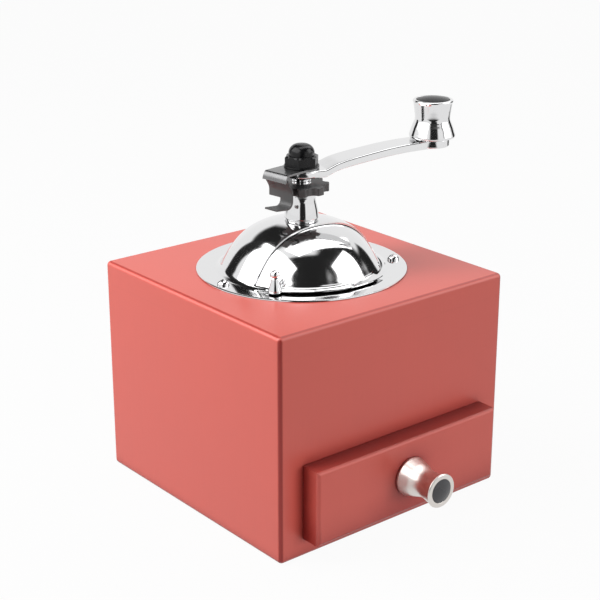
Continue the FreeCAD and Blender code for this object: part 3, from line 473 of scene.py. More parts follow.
def make_finishes(colours):
    """Every finish of the mill: those that the record's slots name, and a few variants of them."""
    chrome, steel = colours.chrome, colours.steel
    rows = (
        # For the lacquers: amount of edge rubbing, amount of painted edge shade and highlight, then reach and
        # amount of painted corner shade.
        (lacquer_finish, "red_lacquer", colours.lacquer, 0.40, 0.2, 0.030, 1.0),
        (lacquer_finish, "case_lacquer", colours.lacquer, 0.06, 0.9, 0.008, 0.5),
        (wood_finish, "bare_wood", colours.bare_wood),
        (polished_finish, "chrome", chrome, 0.07, 0.05, 1.0),
        (polished_finish, "satin_chrome", toned(chrome, 0.90, 0.85, 0.80), 0.27, 0.06, 1.5),
        (polished_finish, "bright_screw", chrome, 0.08, 0.10, 3.0),
        (turned_finish, "plain_steel", steel, 0.28),
        (turned_finish, "funnel_steel", toned(steel, 1.1), 0.34),
        (turned_finish, "burr_steel", toned(steel, 0.72), 0.40),
        (turned_finish, "bush_brass", colours.brass, 0.30),
        (iron_finish, "cast_housing", colours.iron, 0.55),
        (black_finish, "black_metal", colours.black, 0.20, 0.3, 0.28),
        (black_finish, "satin_black", colours.satin, 0.24, 0.5, 0.5, 1.0),
        (black_finish, "worn_black", toned(colours.satin, 0.36), 0.42, 0.6, 0.5, 0.2),
        (black_finish, "black_cap", colours.cap, 0.22, 0.1, 0.18),
        (black_finish, "worn_cap", toned(colours.cap, 4), 0.24, 0.1, 0.5),
    )
    for finish, name, *values in rows:
        FINISHES[name] = finish(name, *values)


# Mesh helpers

SHARP = 35.0  # degrees between faces from which an edge stays sharp or is softened
CREASE = 33.0  # the same for the facets of CAD nodes
WELD = 0.000002
BOARD_EDGE = 0.0004
SCREWS = (1, 2, 3)
KNOB_SHARP = 50.0


def soft_shading():
    """A modifier tree that welds a node's facets and shades its curves smooth."""
    if "soft_shading" in bpy.data.node_groups:
        return bpy.data.node_groups["soft_shading"]
    tree = bpy.data.node_groups.new("soft_shading", "GeometryNodeTree")
    tree.interface.new_socket("Geometry", in_out="INPUT", socket_type="NodeSocketGeometry")
    tree.interface.new_socket("Geometry", in_out="OUTPUT", socket_type="NodeSocketGeometry")
    start = node(tree, "NodeGroupInput").outputs[0]
    weld = node(tree, "GeometryNodeMergeByDistance", {0: start, "Distance": WELD}).outputs[0]
    smooth = node(tree, "GeometryNodeSetShadeSmooth", {0: weld}, domain="FACE").outputs[0]
    angle = node(tree, "GeometryNodeInputMeshEdgeAngle").outputs["Unsigned Angle"]
    limits = {0: angle, 1: radians(CREASE)}
    small = node(tree, "FunctionNodeCompare", limits, data_type="FLOAT", operation="LESS_EQUAL")
    inputs = {0: smooth, "Shade Smooth": small.outputs[0]}
    crease = node(tree, "GeometryNodeSetShadeSmooth", inputs, domain="EDGE").outputs[0]
    node(tree, "NodeGroupOutput", {0: crease})
    return tree


def added(name, data):
    """A new object in the scene."""
    made = bpy.data.objects.new(name, data)
    bpy.context.scene.collection.objects.link(made)
    return made


def dress(name, edge=0.0, finish=None):
    """Give a CAD node its finish, smooth curves and, where wanted, softened edges."""
    piece = NODES[name]
    slot = next(s["material_slot"] for s in frame["record"]["subparts"] if s["node"] == name)
    piece.data.materials.clear()
    piece.data.materials.append(FINISHES[finish or slot])
    shade = piece.modifiers.new("soft shading", "NODES")
    shade.node_group = soft_shading()
    if edge:
        soften(piece, edge, 2)


def soften(piece, width, segments):
    """Round the sharp edges of a piece."""
    made = piece.modifiers.new("soft edges", "BEVEL")
    made.width = width
    made.segments = segments
    made.limit_method = "ANGLE"
    made.angle_limit = radians(SHARP)
    made.harden_normals = True


def place(name, mesh, slot, body, nodes, sharp=SHARP, finish=None):
    """Put a new mesh in the scene as a piece that stands for CAD nodes."""
    for polygon in mesh.polygons:
        polygon.use_smooth = True
    mesh.set_sharp_from_angle(angle=radians(sharp))
    piece = added(name, mesh)
    piece.data.materials.append(FINISHES[finish or slot])
    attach(piece, body)
    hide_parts(*nodes)
    return piece


def even_shading(piece):
    """Keep large faces flat beside small rounded ones."""
    made = piece.modifiers.new("even shading", "WEIGHTED_NORMAL")
    made.keep_sharp = True
    made.weight = 60


def arc(centre, radius, first, last, steps):
    """Points along an arc in the radius and height plane, angles in degrees."""
    turns = [radians(first + (last - first) * k / steps) for k in range(steps + 1)]
    return [(centre[0] + radius * cos(t), centre[1] + radius * sin(t)) for t in turns]


def curve(points, steps=10):
    """A smooth curve through points."""
    padded = [tuple(2 * a - b for a, b in zip(points[0], points[1]))] + list(points)
    padded += [tuple(2 * a - b for a, b in zip(points[-1], points[-2]))]
    out = []
    for p0, p1, p2, p3 in zip(padded, padded[1:], padded[2:], padded[3:]):
        for k in range(steps):
            t = k / steps
            out.append(tuple(0.5 * (2 * b + (c - a) * t + (2 * a - 5 * b + 4 * c - d) * t * t
                                    + (3 * b - a - 3 * c + d) * t ** 3)
                             for a, b, c, d in zip(p0, p1, p2, p3)))
    return out + [tuple(points[-1])]


def eased(points, radius, steps=4):
    """An open outline with each inner corner rounded."""
    out = [points[0]]
    for before, corner, after in zip(points, points[1:], points[2:]):
        a, c, b = Vector(before), Vector(corner), Vector(after)
        reach = min(radius, (a - c).length * 0.45, (b - c).length * 0.45)
        start, end = c + (a - c).normalized() * reach, c + (b - c).normalized() * reach
        for k in range(steps + 1):
            t = k / steps
            out.append(tuple((1 - t) ** 2 * start + 2 * t * (1 - t) * c + t * t * end))
    return out + [points[-1]]


def washer(radius, low, high, bore=0.0):
    """The outline of a flat disc."""
    return [(bore, low), (radius, low), (radius, high), (bore, high)]


def as_mesh(made, name, solid=True):
    """Turn a bmesh into a mesh, welded and with its faces outwards where it is solid."""
    if solid:
        bmesh.ops.remove_doubles(made, verts=made.verts, dist=1e-7)
        bmesh.ops.recalc_face_normals(made, faces=made.faces)
    mesh = bpy.data.meshes.new(name)
    made.to_mesh(mesh)
    made.free()
    return mesh


def spun(outline, closed=False, steps=ROUND_STEPS, first=0.0, last=360.0):
    """A mesh turned about Z from an outline of radius and height points in metres."""
    made = bmesh.new()
    full = abs(last - first) > 359.9
    columns = []
    for k in range(steps if full else steps + 1):
        t = radians(first + (last - first) * k / steps)
        columns.append([made.verts.new((r * cos(t), r * sin(t), z)) for r, z in outline])
    pairs = list(zip(columns, columns[1:]))
    if full:
        pairs.append((columns[-1], columns[0]))
    count = len(outline)
    for left, right in pairs:
        for k in range(count if closed else count - 1):
            n = (k + 1) % count
            made.faces.new((left[k], right[k], right[n], left[n]))
    if not full and closed:
        made.faces.new(list(reversed(columns[0])))
        made.faces.new(columns[-1])
    return as_mesh(made, "spun")


def lofted(rings, name):
    """A solid through rings of points, one after another."""
    made = bmesh.new()
    loops = [[made.verts.new(point) for point in ring] for ring in rings]
    for left, right in zip(loops, loops[1:]):
        for k in range(len(left)):
            n = (k + 1) % len(left)
            made.faces.new((left[k], right[k], right[n], left[n]))
    made.faces.new(loops[0])
    made.faces.new(list(reversed(loops[-1])))
    return as_mesh(made, name)


def extruded(outline, low, high):
    """A closed side outline of reach and height points, drawn out along Y."""
    return lofted([[(u, y, z) for u, z in outline] for y in (low, high)], "extruded")


def box_mesh(low, high):
    """A plain box, used only to cut other meshes."""
    made = bmesh.new()
    bmesh.ops.create_cube(made, size=1.0)
    for v in made.verts:
        v.co = Vector([(a + b) / 2 + c * (b - a) for a, b, c in zip(low, high, v.co)])
    return as_mesh(made, "cutter", solid=False)


def sheet_mesh(name, half):
    """A flat square, given half its width."""
    made = bmesh.new()
    bmesh.ops.create_grid(made, x_segments=1, y_segments=1, size=half)
    return as_mesh(made, name, solid=False)


def carved(mesh, tools, operation="DIFFERENCE"):
    """The mesh after cutting or joining it with other meshes."""
    body = added("carving", mesh)
    helpers = [added("tool", tool) for tool in tools]
    for helper in helpers:
        made = body.modifiers.new("carve", "BOOLEAN")
        made.operation, made.solver, made.object = operation, "EXACT", helper
    graph = bpy.context.evaluated_depsgraph_get()
    result = bpy.data.meshes.new_from_object(body.evaluated_get(graph))
    for thing in helpers + [body]:
        bpy.data.objects.remove(thing)
    return result


def moved(mesh, matrix):
    """The mesh turned and shifted in place."""
    mesh.transform(matrix)
    mesh.update()
    return mesh


def foot_of(name):
    """The move from the origin to the middle of a node's foot."""
    low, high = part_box(name)
    return Matrix.Translation(((low.x + high.x) / 2, (low.y + high.y) / 2, low.z))


# Hopper

CLEAR = 0.05  # cutters reach this far above and below the box's top, well past the dome
SHOULDER = 0.8  # below 1 the dome is fullest nearer its foot
DOME_STEPS = 48


def dome_centre(sizes):
    """The height of the middle of the dome's sphere."""
    return TOP + sizes.dome_height - sizes.dome_radius


def dome_arc(sizes, radius, bore, foot):
    """A line from the dome's bore down to an angle, raised off the sphere by up to the swell midway."""
    centre = dome_centre(sizes)
    start = asin((TOP + sizes.sheet + sizes.fillet - centre) / sizes.dome_radius)
    raised = []
    for r, z in arc((0.0, centre), radius, degrees(acos(bore / radius)), foot, DOME_STEPS):
        share = min(max((atan2(z - centre, r) - start) / (pi / 2 - start), 0.0), 1.0)
        far = 1 + sizes.dome_swell * sin(pi * share ** SHOULDER) ** 2 / sizes.dome_radius
        raised.append((r * far, centre + (z - centre) * far))
    return raised


def dome_outline(sizes):
    """The closed outline of the spun dome and flange."""
    z_flange = TOP + sizes.sheet
    centre = dome_centre(sizes)
    bend_z = z_flange + sizes.fillet
    bend_r = sqrt((sizes.dome_radius + sizes.fillet) ** 2 - (bend_z - centre) ** 2)
    lean = degrees(atan2(bend_z - centre, bend_r))
    rim, edge = sizes.flange_radius, 0.0002
    outline = dome_arc(sizes, sizes.dome_radius, sizes.bush_radius, lean)
    outline += arc((bend_r, bend_z), sizes.fillet, 180 + lean, 270, 8)[1:]
    # Points close to the bend and the rim keep the flange flat in its shading
    flat = (bend_r + 2 * edge, bend_r + 10 * edge, rim - 6 * edge, rim - 3 * edge)
    outline += [(r, z_flange) for r in flat]
    outline += [(rim - edge / 2, z_flange - edge), (rim, z_flange - 3 * edge)]
    outline += [(rim, TOP + edge), (rim - edge, TOP)]
    outline += arc((bend_r, bend_z), sizes.fillet + sizes.sheet, 270, 180 + lean, 6)
    return outline + dome_arc(sizes, sizes.dome_radius - sizes.sheet, sizes.bush_radius, lean)[-2::-1]


def dome_mesh(sizes):
    """The dome with its window cut away."""
    mesh = spun(dome_outline(sizes), closed=True, steps=192)
    reach = sizes.flange_radius
    low = (-reach, -reach, TOP + sizes.sheet + sizes.sill)
    return carved(mesh, [box_mesh(low, (reach, -sizes.setback, TOP + CLEAR))])


def shutter_mesh(sizes):
    """The shell inside the dome with the lip that reaches out through the window."""
    lift, play, hub_ring = 0.0003, 0.00005, 0.012
    edge, fillet = 0.0002, 0.0012
    centre = dome_centre(sizes)
    thick = sizes.shutter_sheet
    outer = sizes.dome_radius - sizes.sheet - sizes.shutter_gap
    inner = outer - thick
    foot = TOP + sizes.sheet + sizes.sill + lift
    low, low_in = (degrees(asin((foot - centre) / radius)) for radius in (outer, inner))
    hub = sizes.bush_radius + play
    outline = dome_arc(sizes, outer, hub, low) + dome_arc(sizes, inner, hub, low_in)[::-1]
    reach, far = sizes.flange_radius, sizes.shutter_overlap - sizes.setback
    back = box_mesh((-reach, far, TOP - CLEAR), (reach, reach, TOP + CLEAR))
    back = carved(back, [spun(washer(hub_ring, TOP, TOP + 2 * CLEAR), steps=64)])
    shell = carved(spun(outline, closed=True, steps=192), [back])
    start, rim = inner * cos(radians(low_in)), sizes.lip_radius
    skin = outer * cos(radians(low + 1.5))
    lip = [(start, foot), (rim - edge, foot), (rim, foot + edge)]
    lip += [(rim, foot + thick - edge), (rim - edge, foot + thick)]
    lip += arc((skin + fillet, foot + thick + fillet), fillet, 270, 190, 6) + [(start, foot + thick + fillet)]
    lip = spun(lip, closed=True, steps=72, first=degrees(sizes.lip_first), last=degrees(sizes.lip_last))
    at = foot_of("shutter_post")
    under = foot - at.translation.z
    ear = spun(eased(washer(sizes.ear, under, under + thick), edge), steps=48)
    return carved(shell, [lip, moved(ear, at)], "UNION")


class MILL_OT_hopper(bpy.types.Operator):
    """Spin the dome, its shutter, the neck and the screws"""
    bl_idname = "mill.hopper"
    bl_label = "Hopper"

    def execute(self, context):
        sizes = context.scene.mill_hopper
        dome = place("hopper_dome_spun", dome_mesh(sizes), "chrome", "case", ["hopper_dome"])
        soften(dome, 0.00015, 2)
        shell = place("shutter_shell", shutter_mesh(sizes), "chrome", "shutter", ["shutter"])
        soften(shell, 0.0001, 1)
        self.post()
        self.neck()
        for k in SCREWS:
            dress("flange_screw_%d" % k, 0.00015)
        for name in ("upper_bush", "hopper_funnel"):
            dress(name)
        return {"FINISHED"}

    def post(self):
        """The ball-ended post on the shutter's lip."""
        low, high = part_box("shutter_post")
        height = high.z - low.z
        base, stem, ball, foot = 0.0035, 0.0018, 0.0026, 0.0006
        outline = eased([(0.0, 0.0), (base, 0.0), (base, foot)], 0.0002)[:-1]
        cone = [(base, foot), (0.8 * base, 0.0027), (0.6 * base, 0.0050), (stem, height - 2 * ball + foot)]
        outline += curve(cone)
        outline += arc((0.0, height - ball), ball, -48, 90, 20)
        mesh = moved(spun(outline, steps=64), foot_of("shutter_post"))
        place("shutter_post_turned", mesh, "chrome", "shutter", ["shutter_post"], KNOB_SHARP)

    def neck(self):
        """The turned neck between dome and adjuster: a foot ring, a groove and a bell."""
        low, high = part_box("neck_collar")
        foot, groove, bulge, waist, top, bore = 0.0084, 0.0080, 0.0091, 0.0075, 0.0076, 0.0057
        ring, lip = low.z + 0.0011, low.z + 0.0015
        z0, z1 = low.z + 0.0021, high.z - 0.0008
        base = [(foot, low.z), (foot, ring), (groove, ring), (groove, lip), (bulge, lip), (bulge, z0)]
        bell = [(bulge, 0.0), (bulge - 0.0003, 0.20), (bulge - 0.0008, 0.42)]
        bell += [(waist + 0.0002, 0.64), (waist, 0.84)]
        bell = [(r, z0 + share * (z1 - z0)) for r, share in bell] + [(top - 0.0001, z1)]
        outline = eased(base, 0.00012)[:-1] + curve(bell, 14)
        outline += eased([(top, z1), (top, high.z), (bore, high.z)], 0.0003)[1:]
        place("neck_collar_turned", spun(outline), "chrome", "case", ["neck_collar"], KNOB_SHARP)


# Crank

def arm_spine(sizes):
    """The middle line of the arm: distance from the spindle and height."""
    low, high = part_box("crank_arm")
    start = low.z + sizes.hub_thickness / 2
    end = high.z - sizes.end_thickness / 2
    rise = end - start
    reach = sizes.reach
    points = [(sizes.hub_radius + 0.0005, start), (0.26 * reach, start + 0.33 * rise)]
    points += [(0.45 * reach, start + 0.60 * rise), (0.7 * reach, start + 0.86 * rise), (reach, end)]
    line = [(0.3 * sizes.hub_radius, start), (0.7 * sizes.hub_radius, start)] + curve(points, 12)
    tail = [(reach + sizes.end_radius * sin(radians(90 * k / 12)), end) for k in range(1, 13)]
    return line + tail


def arm_mesh(sizes):
    """The tapered bar, swept along its spine with rounded edges."""
    rings = []
    start = 0.92 * sizes.hub_radius
    for u, z in arm_spine(sizes):
        share = min(u / sizes.reach, 1.0)
        half = (sizes.hub_thickness + (sizes.end_thickness - sizes.hub_thickness) * share) / 2
        wide = start + (sizes.end_radius - start) * share
        if u > sizes.reach:
            wide = sqrt(max(sizes.end_radius ** 2 - (u - sizes.reach) ** 2, 1e-10))
        ring = []
        for sy, sz, first in ((1, 1, 0), (-1, 1, 90), (-1, -1, 180), (1, -1, 270)):
            edge = min(sizes.upper_edge if sz > 0 else sizes.lower_edge, 0.9 * wide)
            corner = arc((sy * (wide - edge), z + sz * (half - edge)), edge, first, first + 90, 6)
            ring += [(u, y, h) for y, h in corner]
        rings.append(ring)
    return lofted(rings, "arm")


def knob_outline(base, waist, top, height, drop, socket, upright=False):
    """A waisted knob from its underside up into its cap's socket; an upright one has a longer waist."""
    bore, skirt, bead, sink = 0.003, 0.0013, 0.0008, 0.0016
    rise, rim = height - drop, top - 0.0009
    outline = eased([(bore, 0.0), (base - 0.0002, 0.0), (base, skirt)], 0.0006)[:-1]
    side = [(base, skirt), (base - 0.15 * (base - waist) - 0.001, 0.28 * height), (waist, rise)]
    if upright:
        side.insert(2, (waist + 0.2 * (base - waist), 0.8 * rise))
        side.append((waist + 0.25 * (top - waist), rise + 0.4 * drop))
    outline += curve(side + [(top - 0.0004, height - skirt)], 14)[:-1]
    outline += arc((rim, height - bead), bead, -15, 90, 8)
    outline += eased([(rim, height), (socket, height), (socket, height - sink), (0.0, height - sink)], 0.0004)
    return outline


def cap_outline(radius, rise, z):
    """A domed cap that stands in its socket."""
    ball, under = (radius ** 2 + rise ** 2) / (2 * rise), z - 0.0015
    lean = degrees(asin((ball - rise) / ball))
    return [(0.0, under), (radius, under), (radius, z)] + arc((0.0, z + rise - ball), ball, lean, 90, 20)


def place_knob(name, body, at, knob, cap, knob_finish=None, cap_finish=None):
    """Turn a knob and its dark cap from their outlines."""
    mesh = moved(spun(knob), at)
    place(name + "_turned", mesh, "chrome", body, [name], KNOB_SHARP, knob_finish)
    mesh = moved(spun(cap, steps=96), at)
    place(name + "_cap_domed", mesh, "black_cap", body, [name + "_cap"], finish=cap_finish)


class MILL_OT_crank(bpy.types.Operator):
    """Forge the crank arm and turn its knob, cap and nut"""
    bl_idname = "mill.crank"
    bl_label = "Crank"

    def execute(self, context):
        sizes = context.scene.mill_crank
        turned = Matrix.Rotation(sizes.angle, 4, "Z")
        low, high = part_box("crank_arm")
        top = low.z + sizes.hub_thickness
        bore, hub_edge, eye_edge = 0.0035, 0.0009, 0.0008
        hub = eased(washer(sizes.hub_radius, low.z, top, bore), hub_edge)
        hub = closed_ends(spun(hub, steps=96))
        eye = eased(washer(sizes.eye_radius, high.z - sizes.end_thickness, high.z), eye_edge)
        eye = moved(spun(eye, steps=96), Matrix.Translation((sizes.reach, 0.0, 0.0)))
        mesh = moved(carved(arm_mesh(sizes), [hub, eye], "UNION"), turned)
        even_shading(place("crank_arm_forged", mesh, "chrome", "crank", ["crank_arm"], sharp=40.0))
        self.knob()
        self.nut()
        dress("spindle", 0.0, "chrome")
        for name in ("knob_axle", "burr_nut", "inner_burr"):
            dress(name)
        return {"FINISHED"}

    def knob(self):
        """The waisted knob and its dark cap."""
        low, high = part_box("crank_knob")
        at, height = foot_of("crank_knob"), high.z - low.z
        knob = knob_outline(base=0.01239, waist=0.0094, top=0.0109, height=height, drop=0.0102, socket=0.0089,
                            upright=True)
        cap = cap_outline(0.0088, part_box("crank_knob_cap")[1].z - high.z, height)
        place_knob("crank_knob", "knob", at, knob, cap)

    def nut(self):
        """The domed nut with its thin washer face."""
        low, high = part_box("acorn_nut")
        flats, hex_top, steps = 0.008, low.z + 0.0060, 96
        face_radius, face_height, crown_radius, sunk = 0.0093, 0.0008, 0.0068, 0.001
        corner = flats / cos(pi / 6)
        turns = [2 * pi * k / steps for k in range(steps)]
        trims = ((low.z + 0.0006, 0.0), (low.z + 0.0009, 0.0), (hex_top - 0.0007, 0.0), (hex_top, 0.0014))
        rings = []
        for z, trim in trims:
            reach = [min(flats / cos((t + pi / 6) % (pi / 3) - pi / 6), corner - trim) for t in turns]
            rings.append([(r * cos(t), r * sin(t), z) for r, t in zip(reach, turns)])
        hexagon = moved(lofted(rings, "hexagon"), Matrix.Rotation(radians(10.5), 4, "Z"))
        face = eased(washer(face_radius, low.z, low.z + face_height), 0.0002)
        crown = [(0.0, hex_top - sunk), (crown_radius, hex_top - sunk)]
        crown += arc((0.0021, high.z - 0.0049), 0.0047, 0, 78, 14)
        crown += curve([crown[-1], (0.0015, high.z - 0.00005), (0.0, high.z)], 6)[1:]
        mesh = carved(hexagon, [spun(face, steps=steps), spun(crown, steps=steps)], "UNION")
        place("acorn_nut_domed", mesh, "black_metal", "crank", ["acorn_nut"], sharp=25.0)


def closed_ends(mesh):
    """Close the open bore of a turned mesh."""
    made = bmesh.new()
    made.from_mesh(mesh)
    bmesh.ops.holes_fill(made, edges=made.edges)
    return as_mesh(made, "closed")


# Adjuster

def latch_plate_mesh(sizes):
    """The plate under the nut, bent down over the latch's hinge."""
    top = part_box("latch_plate")[1].z
    under = top - sizes.sheet
    lip = top - sizes.nose_drop
    middle = ((sizes.bend_corner + sizes.nose_reach) / 2 + sizes.swell, (top + lip) / 2 + sizes.swell / 2)
    skin = [(0.0, top), (sizes.bend_corner, top), middle, (sizes.nose_reach, lip)]
    back = [(sizes.nose_reach - sizes.lip_sheet, lip), (sizes.bend_corner - sizes.lip_sheet / 2, under)]
    outline = eased(skin, sizes.bend_round, 12)
    outline += eased(back + [(0.0, under)], sizes.bend_round - sizes.sheet, 10)
    strip = extruded(outline, -sizes.width / 2, sizes.width / 2)
    return carved(strip, [spun(washer(sizes.disc_radius, under, top), steps=96)], "UNION")


def latch_sheet_mesh(sizes):
    """The flange that slants in to the wheel, and the tongue that curls out at its foot."""
    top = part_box("latch_plate")[1].z
    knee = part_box("adjusting_wheel")[1].z
    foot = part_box("latch_tongue")[0].z
    sheet, ease, spare = sizes.sheet, 0.0016, 0.001
    inner, outer, start = sizes.flange_inner, sizes.flange_inner + sheet, sizes.flange_top
    centre = (outer + sizes.curl, foot + sizes.curl + sheet)
    head, slope = top - 0.0028, top - 0.0040
    face = [(start - 0.0001, head), (start, slope), (outer, knee), (outer, centre[1])]
    back = [(inner, centre[1]), (inner, knee), (start - sheet, slope), (start - sheet, head)]
    outline = eased(face, ease, 6)[:-1] + arc(centre, sizes.curl, 180, 270, 12)
    outline += [(sizes.tip_reach, foot + 2 * sheet), (sizes.tip_reach, foot + sheet)]
    outline += arc(centre, sizes.curl + sheet, 270, 180, 12)[:-1] + eased(back, ease, 6)
    half = sizes.width / 2
    cut = box_mesh((0.0, -half - spare, foot - spare),
                   (sizes.tip_reach + spare, half - sizes.tongue_width, top - sizes.flange_drop))
    return carved(extruded(outline, -half, half), [cut])


class MILL_OT_adjuster(bpy.types.Operator):
    """Dress the lobed wheel and bend the latch"""
    bl_idname = "mill.adjuster"
    bl_label = "Adjuster"

    def execute(self, context):
        sizes = context.scene.mill_latch
        turned = Matrix.Rotation(sizes.angle, 4, "Z")
        dress("adjusting_wheel", 0.0007, "worn_black")
        dress("latch_pin", 0.0001, "satin_black")
        mesh = moved(latch_plate_mesh(sizes), turned)
        plate = place("latch_plate_bent", mesh, "black_metal", "crank", ["latch_plate"], finish="satin_black")
        mesh = moved(latch_sheet_mesh(sizes), turned)
        sheet = place("latch_sheet_bent", mesh, "black_metal", "latch", ["latch_tongue"], finish="worn_black")
        for piece in (plate, sheet):
            soften(piece, 0.0002, 2)
        return {"FINISHED"}


# Drawer and case

class MILL_OT_drawer(bpy.types.Operator):
    """Finish the drawer and turn its knob and cap"""
    bl_idname = "mill.drawer"
    bl_label = "Drawer"

    def execute(self, context):
        dress("drawer_front")
        even_shading(NODES["drawer_front"])
        for name in ("drawer_left_side", "drawer_right_side", "drawer_back", "drawer_bottom"):
            dress(name, BOARD_EDGE)
        dress("drawer_knob_screw")
        low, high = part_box("drawer_knob")
        at = Matrix.Translation((0.0, high.y, (low.z + high.z) / 2)) @ Matrix.Rotation(radians(90), 4, "X")
        height = high.y - low.y
        knob = knob_outline(base=0.0104, waist=0.0072, top=0.0091, height=height, drop=0.42 * height,
                            socket=0.0063)
        cap = cap_outline(0.00625, low.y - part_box("drawer_knob_cap")[0].y, height)
        place_knob("drawer_knob", "drawer", at, knob, cap, "satin_chrome", "worn_cap")
        return {"FINISHED"}


class MILL_OT_case(bpy.types.Operator):
    """Lacquer the box and finish the boards inside"""
    bl_idname = "mill.case"
    bl_label = "Case"

    def execute(self, context):
        for name in ("front_panel", "back_panel", "left_panel", "right_panel", "top_panel"):
            dress(name, 0.0, "case_lacquer")
            even_shading(NODES[name])
        for name in ("base_panel", "drawer_guide_left", "drawer_guide_right"):
            dress(name, BOARD_EDGE)
        return {"FINISHED"}


class MILL_OT_gear(bpy.types.Operator):
    """Finish the burr housing, the fixed burr, the bridge and their screws"""
    bl_idname = "mill.gear"
    bl_label = "Grinding gear"

    def execute(self, context):
        names = ["burr_housing", "outer_burr", "lower_bridge", "lower_bush"]
        names += ["%s_screw_%d" % (held, k) for held in ("housing", "bridge") for k in SCREWS]
        for name in names:
            dress(name)
        return {"FINISHED"}


class MILL_OT_finishes(bpy.types.Operator):
    """Mix every finish before the pieces are made"""
    bl_idname = "mill.finishes"
    bl_label = "Finishes"

    def execute(self, context):
        make_finishes(context.scene.mill_colours)
        return {"FINISHED"}


# Stage

AIM = Vector((0.0, 0.0, 0.10))
SOFT, CRISP = 0.16, 0.05
LIGHT_DISTANCE = 1.05

# Width, height, degrees right of the line of sight, degrees up
LAMPS = (
    ("key", 0.75, 0.95, -100.0, 45.0),
    ("top", 0.42, 0.36, -130.0, 86.0),
    ("side", 0.70, 0.54, 98.0, 35.0),
    ("back", 0.40, 1.00, 42.0, 58.0),
    ("front", 0.60, 0.40, 132.0, 2.0),
)

# Setting of its brightness, borders, width, height, degrees right, degrees up, metres away
CARDS = (
    ("key_face", "softbox", CRISP, 1.45, 0.92, -112.0, 45.0, LIGHT_DISTANCE),
    ("top_face", "softbox", CRISP, 0.42, 0.36, -130.0, 86.0, LIGHT_DISTANCE),
    ("side_face", "softbox", CRISP, 0.72, 0.72, 95.0, 30.0, LIGHT_DISTANCE),
    ("back_face", "softbox", CRISP, 0.40, 0.98, 47.0, 58.0, LIGHT_DISTANCE),
    ("back_card", "card", SOFT, 1.40, 1.10, -38.0, 52.0, 1.3),
    ("front_card", "card", SOFT, 1.45, 1.15, 166.0, 55.0, 1.3),
    ("right_card", "card", SOFT, 1.8, 1.60, 90.0, 46.0, 1.3),
    ("left_flag", "card", SOFT, 0.26, 0.80, -58.0, 24.0, 0.66),
    ("right_flag", "card", SOFT, 0.26, 0.46, 54.0, 9.0, 0.62),
    ("view_card", "card", SOFT, 1.1, 1.3, 172.0, 14.0, 1.3),
    ("floor_flag", "card", SOFT, 0.75, 1.25, 176.0, -6.0, 0.95),
)


def stand(piece, yaw, aside, rise, distance):
    """Face a piece to the mill from degrees right of the line of sight, degrees up and metres away."""
    around = yaw + radians(aside)
    level = Vector((sin(around), cos(around), 0.0)) * cos(radians(rise))
    piece.location = AIM + distance * (level + Vector((0.0, 0.0, sin(radians(rise)))))
    piece.rotation_euler = (AIM - piece.location).to_track_quat("-Z", "Y").to_euler()


def seen_directly(tree):
    """1 for rays from the camera, from mirrors and through glass, else 0."""
    path = node(tree, "ShaderNodeLightPath")
    seen = math(tree, "ADD", path.outputs["Is Camera Ray"], path.outputs["Is Glossy Ray"])
    return math(tree, "ADD", seen, path.outputs["Is Transmission Ray"], clamp=True)


def card_material(name, strength, fade):
    """Even light that fades out towards the borders of a card."""
    if name in bpy.data.materials:
        return bpy.data.materials[name]
    made = bpy.data.materials.new(name)
    made.use_nodes = True
    tree = made.node_tree
    tree.nodes.clear()
    across, along, _ = split(tree, object_space(tree))
    out = math(tree, "MAXIMUM", across, along)
    inside = remap(tree, out, 0.5, 0.5 - fade, interpolation_type="SMOOTHSTEP")
    clear = node(tree, "ShaderNodeBsdfTransparent").outputs[0]
    glow = white_light(tree, "ShaderNodeEmission", strength)
    node(tree, "ShaderNodeOutputMaterial", {"Surface": mixed(tree, inside, clear, glow)})
    return made


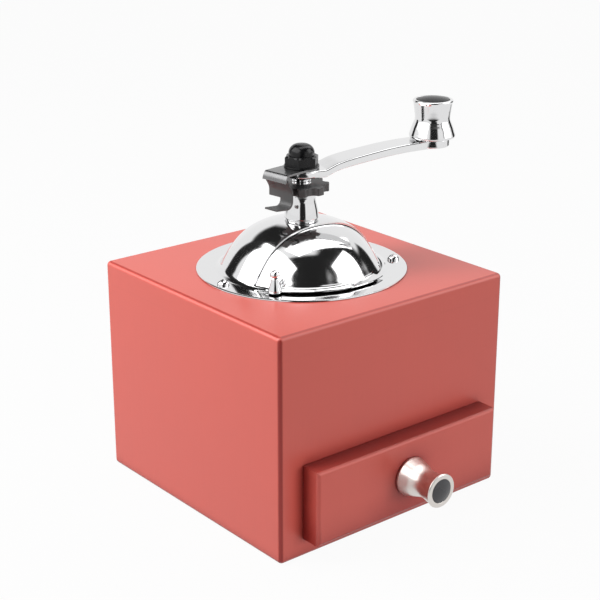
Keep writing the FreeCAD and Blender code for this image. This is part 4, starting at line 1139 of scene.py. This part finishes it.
class MILL_OT_stage(bpy.types.Operator):
    """Set the floor, the soft lights, the white surround and the camera"""
    bl_idname = "mill.stage"
    bl_label = "Stage"

    def execute(self, context):
        scene = context.scene
        settings = scene.mill_stage
        scene.view_settings.view_transform = "Standard"
        self.surround(scene, settings)
        self.floor()
        self.camera(scene, settings)
        for name, *values in LAMPS:
            self.lamp(settings, name, *values)
        for name, kind, *values in CARDS:
            flag = self.card(settings, name, getattr(settings, kind), *values)
        # The last card lies on the floor
        flag.location.z = 0.0005
        flag.rotation_euler = (0.0, 0.0, -settings.camera_yaw)
        return {"FINISHED"}

    def surround(self, scene, settings):
        """White where it is seen, even grey light elsewhere."""
        scene.world = bpy.data.worlds.new("surround")
        scene.world.use_nodes = True
        tree = scene.world.node_tree
        tree.nodes.clear()
        light = white_light(tree, "ShaderNodeBackground", settings.ambient)
        white = white_light(tree, "ShaderNodeBackground", 1.0)
        node(tree, "ShaderNodeOutputWorld", {"Surface": mixed(tree, seen_directly(tree), light, white)})

    def floor(self):
        """A pale floor that keeps a soft shadow."""
        piece = added("floor", sheet_mesh("floor", 6.0))
        piece.location.z = -0.0002
        paper, shader = new_material("pale_floor", 0.0, (0.42, 0.42, 0.42), 0.7)
        tree = paper.node_tree
        share = times(tree, seen_directly(tree), 0.96)
        glow = white_light(tree, "ShaderNodeEmission", 1.0)
        target = tree.nodes["Material Output"].inputs["Surface"]
        tree.links.new(mixed(tree, share, shader.outputs[0], glow), target)
        piece.data.materials.append(paper)

    def camera(self, scene, settings):
        """The photograph's viewing angle."""
        data = bpy.data.cameras.new("camera")
        data.lens = settings.lens
        data.sensor_width = 36.0
        piece = added("camera", data)
        yaw, pitch = settings.camera_yaw, settings.camera_pitch
        gaze = Vector((sin(yaw) * cos(pitch), cos(yaw) * cos(pitch), -sin(pitch)))
        piece.location = settings.camera_place
        piece.rotation_euler = gaze.to_track_quat("-Z", "Y").to_euler()
        scene.camera = piece

    def lamp(self, settings, name, width, height, aside, rise):
        """A soft light aimed at the mill, which mirrors do not see."""
        data = bpy.data.lights.new(name + "_light", "AREA")
        data.energy = getattr(settings, name + "_power")
        data.shape, data.size, data.size_y = "RECTANGLE", width, height
        piece = added(name + "_light", data)
        stand(piece, settings.camera_yaw, aside, rise, LIGHT_DISTANCE)
        piece.visible_glossy = False

    def card(self, settings, name, strength, fade, width, height, aside, rise, distance):
        """A softbox face or a dark studio card with soft borders, which only mirrors see."""
        piece = added(name, sheet_mesh(name, 0.5))
        stand(piece, settings.camera_yaw, aside, rise, distance)
        piece.scale = (width, height, 1.0)
        piece.data.materials.append(card_material("card_%.2f_%.2f" % (strength, fade), strength, fade))
        for ray in ("camera", "diffuse", "shadow", "transmission", "volume_scatter"):
            setattr(piece, "visible_" + ray, False)
        return piece


class MILL_PT_panel(bpy.types.Panel):
    """Sizes, colours and steps of the mill"""
    bl_idname = "MILL_PT_panel"
    bl_label = "Box mill"
    bl_space_type = "VIEW_3D"
    bl_region_type = "UI"
    bl_category = "Mill"

    def draw(self, context):
        for group_name in SETTINGS:
            settings = getattr(context.scene, group_name)
            box = self.layout.box()
            box.label(text=group_name.split("_")[1].title())
            for name in settings.__annotations__:
                box.prop(settings, name)
        for step in STEPS:
            self.layout.operator(step.bl_idname)


STEPS = (MILL_OT_finishes, MILL_OT_stage, MILL_OT_case, MILL_OT_drawer, MILL_OT_hopper, MILL_OT_crank,
         MILL_OT_adjuster, MILL_OT_gear)
SETTINGS = {"mill_hopper": HopperSizes, "mill_crank": CrankSizes, "mill_latch": LatchSizes,
            "mill_colours": MillColours, "mill_stage": StageSettings}


def register():
    """Add the settings, steps and panel to Blender."""
    for name, settings in SETTINGS.items():
        bpy.utils.register_class(settings)
        setattr(bpy.types.Scene, name, bpy.props.PointerProperty(type=settings))
    for step in STEPS + (MILL_PT_panel,):
        bpy.utils.register_class(step)


def unregister():
    """Take them out again."""
    for step in reversed(STEPS + (MILL_PT_panel,)):
        bpy.utils.unregister_class(step)
    for name, settings in SETTINGS.items():
        delattr(bpy.types.Scene, name)
        bpy.utils.unregister_class(settings)


def main():
    """Make every piece in order."""
    register()
    bpy.ops.mill.finishes()
    bpy.ops.mill.stage()
    bpy.ops.mill.case()
    bpy.ops.mill.drawer()
    bpy.ops.mill.hopper()
    bpy.ops.mill.crank()
    bpy.ops.mill.adjuster()
    bpy.ops.mill.gear()


if __name__ == "__main__":
    main()
